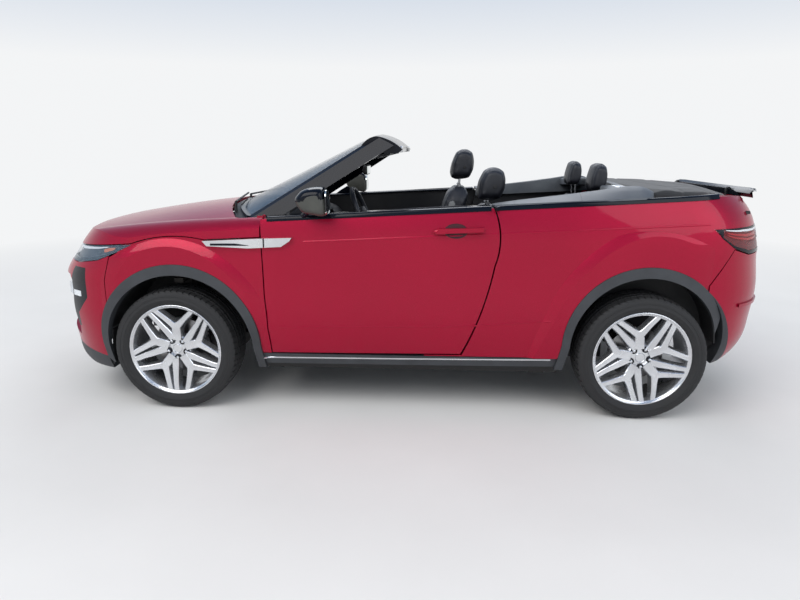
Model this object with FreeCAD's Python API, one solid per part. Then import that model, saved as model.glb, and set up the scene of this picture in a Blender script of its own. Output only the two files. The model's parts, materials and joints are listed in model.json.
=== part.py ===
"""A two-door convertible car with its soft top stowed, built as separate panels, cabin pieces and running gear.

Millimetres. +X points to the tail, +Y to the car's right, +Z up. The origin is on the ground, midway between
the nose and the tail. Pieces are drawn for the right side and mirrored.
"""

import FreeCAD, Part
import math
import os

V = FreeCAD.Vector

# Overall sizes
wheelbase = 2660.0
front_overhang = 862.0
rear_overhang = 848.0
side_y = 932.0
flare_proud = 18.0
track_front = 1621.0
track_rear = 1628.0

# Running gaps
shut_gap = 5.5
door_rear_gap = 8.5
seat_gap = 0.3
pin_gap = 0.3

# Stations along the car
nose_x = -(front_overhang + wheelbase + rear_overhang) / 2
tail_x = -nose_x
front_x = nose_x + front_overhang
rear_x = tail_x - rear_overhang
door_front_x = front_x + 552.0
door_rear_x = rear_x - 815.0
cowl_x = front_x + 190.0
bulkhead_x = front_x + 385.0

# Heights
floor_z = 235.0
floor_plate = 30.0
sill_top_z = 352.0
lamp_low_z = 848.0
lamp_high_z = 925.0
bumper_top_z = 936.0
belt_front_z = 1120.0
belt_rear_z = 1250.0
header_z = 1575.0

# Wheels
tyre_radius = 360.0
tyre_width = 245.0
rim_radius = 271.0
rim_width = 216.0
disc_radius = 165.0
wheel_y_front = track_front / 2
wheel_y_rear = track_rear / 2
steer_axis_inboard = 50.0

# Panels
bumper_wall = 55.0
boot_sill_depth = 130.0
door_wall = 125.0
wing_wall = 60.0
bonnet_wall = 26.0
lid_half_width = 600.0
quarter_wall = 100.0
quarter_end_wall = 26.0


def belt_z(x):
    """Height of the painted waist at station x."""
    share = (x - (front_x + 534.0)) / (rear_x + 336.0 - (front_x + 534.0))
    return belt_front_z + share * (belt_rear_z - belt_front_z)


# Shape helpers

def wire(points, place):
    """A closed wire. An entry (a, b) is reached by a line, and ((am, bm), (a, b)) by an arc through (am, bm)."""
    ends = [p[1] if isinstance(p[0], tuple) else p for p in points]
    edges = []
    for i, p in enumerate(points):
        start = place(*ends[i - 1])
        if isinstance(p[0], tuple):
            edges.append(Part.Arc(start, place(*p[0]), place(*p[1])).toShape())
        else:
            edges.append(Part.LineSegment(start, place(*p)).toShape())
    return Part.Wire(edges)


def side_prism(points, y0, y1):
    """An outline in X and Z, extruded across the car from y0 to y1."""
    face = Part.Face(wire(points, lambda x, z: V(x, y0, z)))
    return face.extrude(V(0, y1 - y0, 0))


def plan_prism(points, z0, z1):
    """An outline in X and Y, extruded upwards from z0 to z1."""
    face = Part.Face(wire(points, lambda x, y: V(x, y, z0)))
    return face.extrude(V(0, 0, z1 - z0))


def cross_prism(points, x0, x1):
    """An outline in Y and Z, extruded along the car from x0 to x1."""
    face = Part.Face(wire(points, lambda y, z: V(x0, y, z)))
    return face.extrude(V(x1 - x0, 0, 0))


def box(x0, x1, y0, y1, z0, z1):
    return Part.makeBox(x1 - x0, y1 - y0, z1 - z0, V(x0, y0, z0))


def rod(start, end, radius):
    direction = end - start
    return Part.makeCylinder(radius, direction.Length, start, direction)


def pipe(points, radius):
    """Round bar through the points, with a ball at each bend."""
    solid = rod(points[0], points[1], radius)
    for a, b in zip(points[1:], points[2:]):
        solid = solid.fuse([Part.makeSphere(radius, a), rod(a, b, radius)])
    return solid


def ring(profile, x, z):
    """A profile of (radius, y) points turned about a crosswise axis through x and z."""
    face = Part.Face(wire(profile, lambda r, y: V(x + r, y, z)))
    return face.revolve(V(x, 0, z), V(0, 1, 0), 360)


def mirrored(shape):
    return shape.mirror(V(0, 0, 0), V(0, 1, 0))


def fused(shapes):
    return shapes[0].fuse(shapes[1:]).removeSplitter()


def solids(*shapes):
    """One compound of every solid in the shapes."""
    return Part.makeCompound([s for shape in shapes for s in shape.Solids])


def pair(shape):
    return solids(shape, mirrored(shape))


def save(name, shape):
    shape.exportStep(os.path.join("parts", name + ".step"))


# Body surface: plan outlines stacked upwards

# Columns: height, then how far the nose, the side and the tail stand in from the overall size
BODY_LEVELS = (
    (195.0, 60.0, 74.0, 150.0),
    (330.0, 14.0, 34.0, 92.0),
    (480.0, 5.0, 9.0, 62.0),
    (640.0, 0.0, 0.0, 46.0),
    (720.0, 2.0, 0.5, 39.0),
    (800.0, 18.0, 2.0, 31.0),
    (865.0, 62.0, 4.0, 25.0),
    (930.0, 108.0, 8.0, 20.0),
    (1000.0, 158.0, 15.0, 28.0),
    (1070.0, 222.0, 26.0, 42.0),
    (1170.0, 290.0, 52.0, 74.0),
    (1285.0, 350.0, 96.0, 170.0),
)
REAR_BUMPER_LEVELS = (
    (270.0, 300.0, 52.0, 140.0),
    (340.0, 300.0, 32.0, 78.0),
    (440.0, 300.0, 18.0, 29.0),
    (560.0, 300.0, 4.0, 18.0),
    (660.0, 300.0, 0.0, 7.0),
    (820.0, 300.0, 2.0, 11.0),
    (bumper_top_z, 300.0, 8.0, 20.0),
)


def plan_points(nose, side, tail):
    """Half of a plan outline: stations and half-widths from the nose round the corner, along the side, to the tail."""
    return {
        "nose_edge": (nose + 90.0, side - 318.0),
        "nose_corner": (nose + 205.0, side - 148.0),
        "side_start": (nose + 480.0, side - 17.0),
        "side_middle": ((nose + tail) / 2, side),
        "side_end": (tail - 560.0, side - 22.0),
        "tail_corner": (tail - 258.0, side - 142.0),
        "tail_edge": (tail - 106.0, side - 400.0),
    }


def plan_wire(z, nose, side, tail):
    p = plan_points(nose, side, tail)
    flip = lambda a: (a[0], -a[1])
    points = [
        ((nose, 0.0), p["nose_edge"]),
        (p["nose_corner"], p["side_start"]),
        (p["side_middle"], p["side_end"]),
        (p["tail_corner"], p["tail_edge"]),
        ((tail, 0.0), flip(p["tail_edge"])),
        (flip(p["tail_corner"]), flip(p["side_end"])),
        (flip(p["side_middle"]), flip(p["side_start"])),
        (flip(p["nose_corner"]), flip(p["nose_edge"])),
    ]
    return wire(points, lambda x, y: V(x, y, z))


volumes = {}


def body_volume(levels, inset=0.0, nose_inset=None):
    """The volume inside the stacked outlines, with every outline moved in by inset."""
    ends = inset if nose_inset is None else nose_inset
    key = (levels, inset, ends)
    if key not in volumes:
        wires = [
            plan_wire(z, nose_x + nose + ends, side_y - side - inset, tail_x - tail - ends)
            for z, nose, side, tail in levels
        ]
        volumes[key] = Part.makeLoft(wires, True, False)
    return volumes[key]


# Upper surface of the bonnet: cross-sections along the car
# Columns: station, crown height, half-width and height of the shoulder, half-width and height where the side begins
BONNET_SECTIONS = (
    (nose_x - 40.0, 905.0, 600.0, 880.0, 760.0, 840.0),
    (nose_x + 60.0, 985.0, 620.0, 950.0, 800.0, 880.0),
    (nose_x + 190.0, 1042.0, 650.0, 1002.0, 850.0, 925.0),
    (nose_x + 400.0, 1086.0, 680.0, 1042.0, 890.0, 970.0),
    (nose_x + 700.0, 1132.0, 712.0, 1078.0, 918.0, 1000.0),
    (nose_x + 1060.0, 1172.0, 742.0, 1106.0, 926.0, 1020.0),
    (nose_x + 1460.0, 1200.0, 770.0, 1128.0, 932.0, 1035.0),
)


def bonnet_volume(drop):
    """Everything under the bonnet's upper surface, lowered by drop."""
    wires = []
    for x, crown, shoulder_y, shoulder_z, edge_y, edge_z in BONNET_SECTIONS:
        shoulder = (shoulder_y - drop * 0.3, shoulder_z - drop)
        edge = (edge_y - drop * 0.3, edge_z - drop)
        bend = ((shoulder[0] + edge[0]) / 2 + 22.0, (shoulder[1] + edge[1]) / 2 + 22.0)
        flip = lambda a: (-a[0], a[1])
        points = [
            ((0.0, crown - drop), shoulder),
            (bend, edge),
            (edge[0], 500.0),
            (-edge[0], 500.0),
            flip(edge),
            (flip(bend), flip(shoulder)),
        ]
        wires.append(wire(points, lambda y, z, x=x: V(x, y, z)))
    return Part.makeLoft(wires, True, False)


body = body_volume(BODY_LEVELS)
half_space = box(nose_x - 200, tail_x + 200, 1.0, 1200, 0, 1800)
right_body = body.common(half_space)
flare_limit = body_volume(BODY_LEVELS, -flare_proud, 70.0)
clad_limit = body_volume(BODY_LEVELS, -flare_proud - 3.0, 38.0)

# Wheel arches: the opening and, concentric in plan, the painted edge outside the cladding
# Columns: centre station, centre height and radius of the opening, then centre height and radius of the painted edge
ARCHES = {
    "front": (front_x + 34.0, 376.0, 432.0, 394.0, 476.0),
    "rear": (rear_x + 1.0, 420.0, 404.0, 434.0, 450.0),
}
LEG_BOTTOM = 150.0


def arch_prism(end, painted_edge, grow, y0, y1):
    """The arch outline, with legs that lean outwards to the ground, grown by grow."""
    x, open_z, open_r, paint_z, paint_r = ARCHES[end]
    z, r = (paint_z, paint_r) if painted_edge else (open_z, open_r)
    r += grow
    lean_front = -24.0 if end == "front" else 55.0
    lean_rear = 38.0 if end == "front" else -40.0
    points = [
        (x - r - lean_front, LEG_BOTTOM),
        (x - r, z),
        ((x, z + r), (x + r, z)),
        (x + r + lean_rear, LEG_BOTTOM),
    ]
    return side_prism(points, y0, y1)


def flare(end):
    """The swelling of the body side round an arch."""
    x, _, _, z, r = ARCHES[end]
    reach = 150.0 if end == "front" else 190.0
    top_y = side_y + flare_proud
    profile = [
        (r - 60.0, side_y - 90.0),
        (r - 60.0, top_y),
        (r - 4.0, top_y),
        ((r + 0.5 * reach, top_y - 15.0), (r + reach, side_y - 34.0)),
        (r + reach, side_y - 90.0),
    ]
    return ring(profile, x, z).common(flare_limit)


# The front flare runs out into the plain body side just ahead of the door
flare_run_out = 10.0
run_out = body.copy()
run_out.rotate(V(door_front_x - 22.0, side_y, 0), V(0, 0, 1), -flare_run_out)
right_side = right_body.fuse([flare("front").common(run_out), flare("rear")])

# Door hinge: the door's front end is turned about the hinge line, so it keeps its gap to the wing as it swings
hinge_x = door_front_x + 40.0
hinge_y = side_y - 42.0
# Columns: height and radius of the door's rounded front end
KNUCKLE_RADII = (
    (sill_top_z - 40.0, 18.0),
    (sill_top_z + 20.0, 26.0),
    (500.0, 46.0),
    (690.0, 57.0),
    (1010.0, 56.0),
    (1260.0, 58.0),
)


def knuckle(grow):
    profile = [(0.0, KNUCKLE_RADII[0][0] - grow)]
    profile += [(r + grow, z) for z, r in KNUCKLE_RADII]
    profile[1] = (KNUCKLE_RADII[0][1] + grow, KNUCKLE_RADII[0][0] - grow)
    profile.append((0.0, KNUCKLE_RADII[-1][0]))
    face = Part.Face(wire(profile, lambda r, z: V(hinge_x + r, hinge_y, z)))
    return face.revolve(V(hinge_x, hinge_y, 0), V(0, 0, 1), 360)


# Hinges. Columns: low edge of the hinge arm on the body
HINGE_ARMS = (455.0, 880.0)
hinge_arm_height = 26.0
hinge_pin_radius = 8.0
door_swing = 65.0


def hinge_point(angle, distance, offset=0.0):
    """A point near the right door's hinge line, by direction, distance along it and offset to its left."""
    a = math.radians(angle)
    return (
        hinge_x + distance * math.cos(a) - offset * math.sin(a),
        hinge_y + distance * math.sin(a) + offset * math.cos(a),
    )


hinge_arm_angle = 235.0


def hinge_arm(z):
    """A body-side hinge arm with its upright pin, for the right door."""
    outline = [
        hinge_point(hinge_arm_angle, 0.0, -12.0), hinge_point(hinge_arm_angle, 128.0, -12.0),
        hinge_point(hinge_arm_angle, 128.0, 12.0), hinge_point(hinge_arm_angle, 0.0, 12.0),
    ]
    arm = plan_prism(outline, z, z + hinge_arm_height)
    eye = Part.makeCylinder(12.0, hinge_arm_height, V(hinge_x, hinge_y, z))
    pin = Part.makeCylinder(hinge_pin_radius, hinge_arm_height + 60.0, V(hinge_x, hinge_y, z - 30.0))
    return fused([arm, eye, pin])


def hinge_room(z):
    """The slot and the bore that the right door has for a hinge arm and its pin, over the door's whole swing."""
    open_angle = hinge_arm_angle - door_swing
    outline = [
        hinge_point(open_angle, -4.0, -16.0), hinge_point(open_angle, 110.0, -16.0),
        hinge_point((open_angle + hinge_arm_angle) / 2, 125.0), hinge_point(hinge_arm_angle, 110.0, 16.0),
        hinge_point(hinge_arm_angle, -4.0, 16.0),
    ]
    low, high = z - 1.0, z + hinge_arm_height + 1.0
    slot = plan_prism(outline, low, high)
    round_slot = Part.makeCylinder(17.0, high - low, V(hinge_x, hinge_y, low))
    bore = Part.makeCylinder(
        hinge_pin_radius + pin_gap, hinge_arm_height + 61.0, V(hinge_x, hinge_y, z - 30.5)
    )
    return fused([slot, round_slot, bore])


def door_side(gap):
    """The door's side view behind its hinge line, grown by gap along its rear edge."""
    x = door_rear_x + gap
    return [
        (hinge_x - gap, sill_top_z + 4.0 - gap),
        (x - 195.0, sill_top_z + 16.0 - gap),
        ((x - 90.0, 620.0), (x - 24.0, 880.0)),
        ((x, 1060.0), (x - 42.0, belt_z(x - 42.0) + 20.0)),
        (x - 42.0, 1400.0),
        (hinge_x - gap, 1400.0),
    ]


def under_belt(x0, x1, drop=0.0):
    """Everything under the waist between two stations."""
    points = [(x0, 0.0), (x1, 0.0), (x1, belt_z(x1) - drop), (x0, belt_z(x0) - drop)]
    return side_prism(points, -1200, 1200)


def bonnet_side(gap):
    """Side view of what lies above the bonnet's shut line, lowered by gap."""
    return [
        (nose_x - 100.0, lamp_high_z + 6.0 - gap),
        (nose_x + 225.0, lamp_high_z + 22.0 - gap),
        (front_x - 205.0, 982.0 - gap),
        ((front_x + 24.0, 1026.0 - gap), (front_x + 213.0, 1009.0 - gap)),
        (door_front_x + 120.0, 1033.0 - gap),
        (door_front_x + 120.0, 1400.0),
        (nose_x - 100.0, 1400.0),
    ]


def bonnet_rear(gap):
    """Plan view of what lies ahead of the bonnet's rear edge, with the edge moved back by gap."""
    return [
        (nose_x - 100.0, 1000.0),
        (nose_x - 100.0, -1000.0),
        (door_front_x + 60.0, -1000.0),
        (door_front_x + 60.0, -(800.0 - gap)),
        (cowl_x + 200.0 + gap, -(800.0 - gap)),
        (cowl_x + 170.0 + gap, -765.0),
        ((cowl_x - 12.0 + gap, 0.0), (cowl_x + 170.0 + gap, 765.0)),
        (cowl_x + 200.0 + gap, 800.0 - gap),
        (door_front_x + 60.0, 800.0 - gap),
        (door_front_x + 60.0, 1000.0),
    ]


# Side view of the headlamp, and of the tail lamp
HEADLAMP = [
    (nose_x - 100.0, lamp_low_z),
    (nose_x + 285.0, lamp_low_z + 8.0),
    (nose_x + 440.0, 880.0),
    (front_x - 297.0, 928.0),
    (front_x - 200.0, 974.0),
    (front_x - 380.0, 966.0),
    (nose_x + 225.0, lamp_high_z + 16.0),
    (nose_x - 100.0, lamp_high_z),
]
TAIL_LAMP = [
    (rear_x + 325.0, 1083.0),
    (rear_x + 380.0, 1030.0),
    (rear_x + 452.0, 978.0),
    (rear_x + 560.0, bumper_top_z + shut_gap),
    (tail_x + 100.0, bumper_top_z + shut_gap),
    (tail_x + 100.0, 1094.0),
]
lamp_inner_y = 500.0
WING_JOINT = [(front_x - 372.0, 770.0), (front_x - 340.0, 900.0)]
BUMPER_JOINT = [(rear_x + 318.0, 780.0), (rear_x + 452.0, 974.0)]

front_lamp_zone = side_prism(HEADLAMP, lamp_inner_y, 1200)
tail_lamp_zone = side_prism(TAIL_LAMP, lid_half_width + shut_gap, 1200)
top_zone = side_prism(bonnet_side(0.0), -1200, 1200)
below_top = side_prism(bonnet_side(shut_gap), -1200, 1200)
front_arch = arch_prism("front", True, 0.0, 300, 1200)
rear_arch = arch_prism("rear", True, 0.0, 300, 1200)
wing_rear_cut = knuckle(shut_gap).fuse(box(hinge_x, tail_x, 0, 1200, 0, 1400))


def front_wings():
    zone = side_prism(
        [
            WING_JOINT[0],
            WING_JOINT[1],
            (front_x - 290.0, 931.0 - 4.0),
            (front_x - 190.0, 1100.0),
            (door_front_x + 80.0, 1100.0),
            (door_front_x + 80.0, sill_top_z),
            (front_x, sill_top_z),
            (front_x - 372.0, 500.0),
        ],
        side_y - wing_wall,
        1200,
    )
    wing = right_side.common(zone)
    wing = wing.cut([below_top, front_arch, wing_rear_cut, front_lamp_zone])
    return biggest(wing)


def biggest(shape):
    return max(shape.Solids, key=lambda s: s.Volume)


bonnet_axis = (hinge_x - 59.0, 1128.0)
bonnet_pin_radius = 4.0
bonnet_ear_y = 795.0


def bonnet_ears():
    x, z = bonnet_axis
    ear = Part.makeCylinder(9.0, 9.0, V(x, bonnet_ear_y, z), V(0, 1, 0)).fuse(
        box(x - 40.0, x + 2.0, bonnet_ear_y, bonnet_ear_y + 9.0, z - 30.0, z + 2.0)
    )
    bore = Part.makeCylinder(bonnet_pin_radius + pin_gap, 9.0, V(x, bonnet_ear_y, z), V(0, 1, 0))
    return ear.cut(bore)


def bonnet_pin():
    x, z = bonnet_axis
    return Part.makeCylinder(bonnet_pin_radius, bonnet_ear_y + 8.0 - 740.0, V(x, 740.0, z), V(0, 1, 0))


def bonnet():
    room = bonnet_volume(bonnet_wall).common(body_volume(BODY_LEVELS, bonnet_wall))
    shell = bonnet_volume(0.0).common(body).cut(room)
    shell = shell.common([top_zone]).common(plan_prism(bonnet_rear(0.0), 700, 1400))
    shell = shell.cut(box(hinge_x - 62.0, tail_x, -1200, 1200, 0, 1400))
    return biggest(shell.fuse([bonnet_ears(), mirrored(bonnet_ears())]))


# Side view of the lower edge of the front bumper, where the valance begins
VALANCE_TOP = ((nose_x - 100.0, 352.0), (nose_x + 160.0, 352.0), (front_x - 372.0, 284.0))


def above_bumper(gap):
    """The room over the front bumper's top edge, from a gap above it."""
    return side_prism(
        [(nose_x - 100.0, lamp_low_z - 3.0 + gap)]
        + [(x, z - 3.0 + gap) for x, z in HEADLAMP[1:4]]
        + [(front_x - 200.0, 1200.0), (nose_x - 100.0, 1200.0)],
        -1200,
        1200,
    )


def front_bumper():
    zone = side_prism(
        [
            *VALANCE_TOP,
            (front_x - 372.0 - shut_gap, 770.0),
            (front_x - 340.0 - shut_gap, 900.0),
            (front_x - 300.0, 1000.0),
            (nose_x - 100.0, 1000.0),
        ],
        -1200,
        1200,
    )
    shell = body.fuse([flare("front"), mirrored(flare("front"))])
    shell = shell.cut(body_volume(BODY_LEVELS, bumper_wall)).common(zone)
    cuts = [above_bumper(0.0), front_arch, mirrored(front_arch)]
    for opening in bumper_openings():
        cuts += [opening]
    return biggest(shell.cut(cuts))


# Openings in the front bumper. Columns: inner and outer half-width, low and high edge
CENTRE_INTAKE = (0.0, 420.0, 400.0, 600.0)
SIDE_INTAKE = (505.0, 800.0, 405.0, 775.0)
fog_lamp_z = 655.0
fog_lamp_height = 46.0


def bumper_openings():
    y1, z0, z1 = CENTRE_INTAKE[1:]
    centre = cross_prism(
        [(-y1 + 60.0, z0), (y1 - 60.0, z0), (y1, z1), (-y1, z1)], nose_x - 50, nose_x + 330
    )
    a, b, c, d = SIDE_INTAKE
    side = cross_prism(
        [(a, c + 60.0), (b - 30.0, c), (b, c + 60.0), (b, d - 30.0), (b - 30.0, d), (a, d)],
        nose_x - 50,
        nose_x + 330,
    )
    return [centre, side, mirrored(side)]


def under_skin(depth, thick):
    """A layer of the body that begins at a depth under its surface."""
    return body_volume(BODY_LEVELS, depth).cut(body_volume(BODY_LEVELS, depth + thick))


def intake_trims():
    """The panel that closes the right side intake, behind its lamp."""
    return pair(biggest(under_skin(22.0, 28.0).common(bumper_openings()[1])))


def fog_lamps():
    """The bright lamp across the right side intake, on the intake's panel."""
    outline = box(nose_x - 50.0, nose_x + 330.0, 625.0, SIDE_INTAKE[1] - 6.0, fog_lamp_z, fog_lamp_z + fog_lamp_height)
    return pair(biggest(under_skin(5.0, 17.0).common(outline)))


def lattice(y1, z0, z1, depth, count, bar):
    """Crossed bars between a top and a bottom bar, with a plate behind them, at a depth under the nose."""
    x0, x1 = nose_x - 50.0, nose_x + 330.0
    bars = [box(x0, x1, -y1, y1, z0, z0 + bar), box(x0, x1, -y1, y1, z1 - bar, z1)]
    step = 2 * y1 / count
    for i in range(count):
        y = -y1 + i * step
        for a, b in ((y, y + step - bar), (y + step - bar, y)):
            corners = [(a, z0 + bar / 2), (a + bar, z0 + bar / 2), (b + bar, z1 - bar / 2), (b, z1 - bar / 2)]
            bars.append(cross_prism(corners, x0, x1))
    plate = under_skin(depth + 20.0, 8.0).common(box(x0, x1, -y1, y1, z0, z1))
    return fused([fused(bars).common(under_skin(depth, 20.0)), plate])


def grilles():
    upper = lattice(lamp_inner_y - shut_gap, lamp_low_z - 3.0 + seat_gap, lamp_high_z - 4.0, 8.0, 12, 9.0)
    upper = biggest(upper.common(above_bumper(seat_gap)))
    lower = lattice(CENTRE_INTAKE[1] - 66.0, CENTRE_INTAKE[2] + seat_gap, CENTRE_INTAKE[3] - seat_gap, 20.0, 9, 10.0)
    return solids(upper, lower)


def headlamps():
    lamp = right_body.common(front_lamp_zone).cut(body_volume(BODY_LEVELS, 110.0))
    lamp = lamp.cut(below_top)
    return pair(biggest(lamp))


def door():
    zone = side_prism(door_side(0.0), side_y - door_wall, 1200).fuse(knuckle(0.0))
    panel = right_body.common(zone).common(under_belt(door_front_x - 60.0, door_rear_x + 20.0))
    panel = panel.cut([
        box(nose_x, hinge_x, 0, hinge_y - KNUCKLE_RADII[3][1], 0, 1400),
        box(nose_x, tail_x, 0, 1200, 0, sill_top_z + 4.0),
    ])
    grip_z, grip_x = 1068.0, door_rear_x - 218.0
    handle = side_prism(
        [
            (grip_x - 130.0, grip_z - 14.0),
            (grip_x + 130.0, grip_z - 2.0),
            (grip_x + 130.0, grip_z + 20.0),
            (grip_x - 110.0, grip_z + 14.0),
        ],
        side_y - 60.0,
        side_y + 8.0,
    )
    armrest = box(hinge_x + 190.0, door_rear_x - 330.0, side_y - door_wall - 48.0, side_y - door_wall + 5.0, 640, 690)
    return biggest(panel.fuse([handle, armrest]).cut([hinge_room(z) for z in HINGE_ARMS]))


def quarter():
    zone = side_prism(
        [
            (door_rear_x - 400.0, sill_top_z),
            (rear_x, sill_top_z),
            (rear_x + 318.0, 600.0),
            BUMPER_JOINT[0],
            BUMPER_JOINT[1],
            (tail_x + 50.0, 974.0),
            (tail_x + 50.0, 1400.0),
            (door_rear_x - 400.0, 1400.0),
        ],
        0.0,
        1200,
    )
    side = box(door_rear_x - 400, rear_x + 520, side_y - door_wall - 20.0, 1200, 0, 1400)
    corner = box(rear_x + 330, tail_x + 50, lid_half_width + shut_gap, 1200, 0, 1400)
    skins = [
        right_side.cut(body_volume(BODY_LEVELS, quarter_wall)).common(side),
        right_side.cut(body_volume(BODY_LEVELS, quarter_wall, quarter_end_wall)).common(corner),
    ]
    quarter_top = side_prism(
        [
            (door_rear_x - 400.0, 0.0),
            (tail_x + 60.0, 0.0),
            (tail_x + 60.0, belt_z(rear_x + 336.0) - 90.0),
            (tail_x - 130.0, belt_z(rear_x + 336.0) - 14.0),
            (rear_x + 380.0, belt_z(rear_x + 336.0)),
            (door_rear_x - 400.0, belt_z(door_rear_x - 400.0)),
        ],
        0, 1200,
    )
    panel = fused(skins).common(zone).common(quarter_top)
    door_zone = side_prism(door_side(door_rear_gap), 0, 1200)
    panel = panel.cut([door_zone, rear_arch, side_prism(TAIL_LAMP, 0, 1200)])
    return biggest(panel)


def tail_lamps():
    lamp = right_body.common(tail_lamp_zone).cut(body_volume(BODY_LEVELS, 96.0))
    return pair(biggest(lamp))


def joint_x(z):
    """Station of the rear bumper's front edge at height z."""
    (x0, z0), (x1, z1) = BUMPER_JOINT
    return x0 + (z - z0) / (z1 - z0) * (x1 - x0) + shut_gap


# The lip across the rear bumper: low edge, height and how far it stands out
bumper_lip_z = 650.0
bumper_lip_height = 18.0
bumper_lip_proud = 7.0
valance_half_width = 520.0
valance_top_z = 440.0


def rear_bumper():
    volume = body_volume(REAR_BUMPER_LEVELS)
    inner = body_volume(REAR_BUMPER_LEVELS, bumper_wall)
    inner = inner.common(box(nose_x, tail_x, -1200, 1200, 0, bumper_top_z - 30.0))
    opening = body_volume(REAR_BUMPER_LEVELS, boot_sill_depth)
    inner = inner.fuse(opening.common(box(nose_x, tail_x, -1200, 1200, bumper_top_z - 40.0, bumper_top_z)))
    lip_top = bumper_lip_z + bumper_lip_height
    lip = body_volume(REAR_BUMPER_LEVELS, -bumper_lip_proud).common(
        box(rear_x + 520.0, tail_x + 50.0, -1200, 1200, bumper_lip_z, lip_top)
    )
    right_flare = flare("rear")
    volume = volume.fuse([right_flare, mirrored(right_flare), lip]).cut(inner)
    zone = side_prism(
        [
            (rear_x + 300.0, 300.0),
            (tail_x + 50.0, 300.0),
            (tail_x + 50.0, bumper_top_z),
            (joint_x(bumper_top_z), bumper_top_z),
            (joint_x(BUMPER_JOINT[0][1]), BUMPER_JOINT[0][1]),
            (joint_x(BUMPER_JOINT[0][1]), 600.0),
        ],
        -1200,
        1200,
    )
    lamp_low = TAIL_LAMP[3]
    ear = side_prism(
        [
            (joint_x(bumper_top_z - 20.0), bumper_top_z - 20.0),
            (lamp_low[0], bumper_top_z - 20.0),
            (lamp_low[0], lamp_low[1] - shut_gap),
            (joint_x(970.0), 970.0),
        ],
        -1200, 1200,
    )
    ears = body.cut(body_volume(BODY_LEVELS, bumper_wall)).common(ear)
    centre = box(rear_x + 300.0, tail_x + 50.0, -valance_half_width, valance_half_width, 200.0, valance_top_z)
    shell = volume.common(zone).fuse(ears).cut([rear_arch, mirrored(rear_arch), centre])
    return biggest(shell)


def lid_hinge():
    return (rear_x + 590.0, belt_rear_z + 22.0)


def lid_top(x):
    """Height of the lid's upper face at station x."""
    hinge = lid_hinge()
    return hinge[1] - 0.085 * (x - hinge[0])


def bootlid():
    """The lid behind the stowed top, with a rear face down to the bumper and a short deck."""
    x, z = lid_hinge()
    profile = [
        (x + 2.0, lid_top(x + 2.0)),
        (x + 2.0, z - 46.0),
        (x + 56.0, z - 62.0),
        (tail_x - 175.0, 1140.0),
        (tail_x - 150.0, bumper_top_z + shut_gap),
        (tail_x + 60.0, bumper_top_z + shut_gap),
        (tail_x + 60.0, lid_top(tail_x + 60.0)),
    ]
    shell = body.common(side_prism(profile, -lid_half_width, lid_half_width))
    hollow = side_prism(
        [(x + 70.0, z - 48.0), (tail_x - 190.0, bumper_top_z + 60.0), (tail_x + 60.0, bumper_top_z + 60.0),
         (tail_x + 60.0, z - 60.0)],
        -lid_half_width + 40.0, lid_half_width - 40.0,
    ).common(body_volume(BODY_LEVELS, 40.0))
    plate_recess = box(tail_x - 200, tail_x + 50, -270, 270, 975, 1105).cut(body_volume(BODY_LEVELS, 14.0))
    ears = [lid_ear(), mirrored(lid_ear())]
    rooms = [lid_room(), mirrored(lid_room())]
    bores = [lid_axis_rod(lid_pin_radius + pin_gap, lid_bracket_y - 1.0, lid_bracket_y + 21.0)]
    bores.append(mirrored(bores[0]))
    return biggest(biggest(shell.cut([hollow, plate_recess, *rooms])).fuse(ears).cut(bores))


lid_pin_radius = 4.0
lid_bracket_y = 381.0


def lid_axis_rod(radius, y0, y1):
    x, z = lid_hinge()
    return Part.makeCylinder(radius, y1 - y0, V(x, y0, z + 2.0), V(0, 1, 0))


def lid_ear():
    """The lid's right hinge ear, outboard of the body's bracket."""
    x, z = lid_hinge()
    y0 = lid_bracket_y + 11.0
    ear = lid_axis_rod(8.0, y0, y0 + 9.0).fuse(box(x - 1.0, x + 14.0, y0, y0 + 9.0, z - 30.0, z + 4.0))
    return ear.cut(lid_axis_rod(lid_pin_radius + pin_gap, y0 - 1.0, y0 + 10.0))


def lid_room():
    """Room in the lid for the eye of the right hinge bracket."""
    return lid_axis_rod(13.0, lid_bracket_y - 1.0, lid_bracket_y + 11.0)


def lid_bracket():
    """The body's right hinge bracket, on the rear edge of the soft top's well, with its pin."""
    x, z = lid_hinge()
    y0, y1 = lid_bracket_y, lid_bracket_y + 10.0
    plate = side_prism(
        [(x - 14.0, 1099.0), (x - 6.0, 1099.0), (x - 6.0, z - 8.0), (x, z - 5.0), (x, z + 9.0), (x - 14.0, z - 4.0)],
        y0, y1,
    )
    return fused([plate, lid_axis_rod(8.0, y0, y1), lid_axis_rod(lid_pin_radius, y0, y1 + 9.0)])


def spoiler():
    """The blade on the lid's rear edge."""
    x = lid_hinge()[0] + 62.0
    lip = tail_x - 78.0
    shape = side_prism(
        [
            (x, lid_top(x)),
            (lip, lid_top(lip)),
            (lip, lid_top(lip) + 6.0),
            (lip - 40.0, lid_top(lip) + 15.0),
            (x + 20.0, lid_top(x) + 14.0),
        ],
        -700, 700,
    )
    blade = plan_prism(
        [
            (x, -lid_half_width),
            ((lip, 0.0), (x, lid_half_width)),
        ],
        1000, 1400,
    )
    return blade.common(shape)


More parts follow.
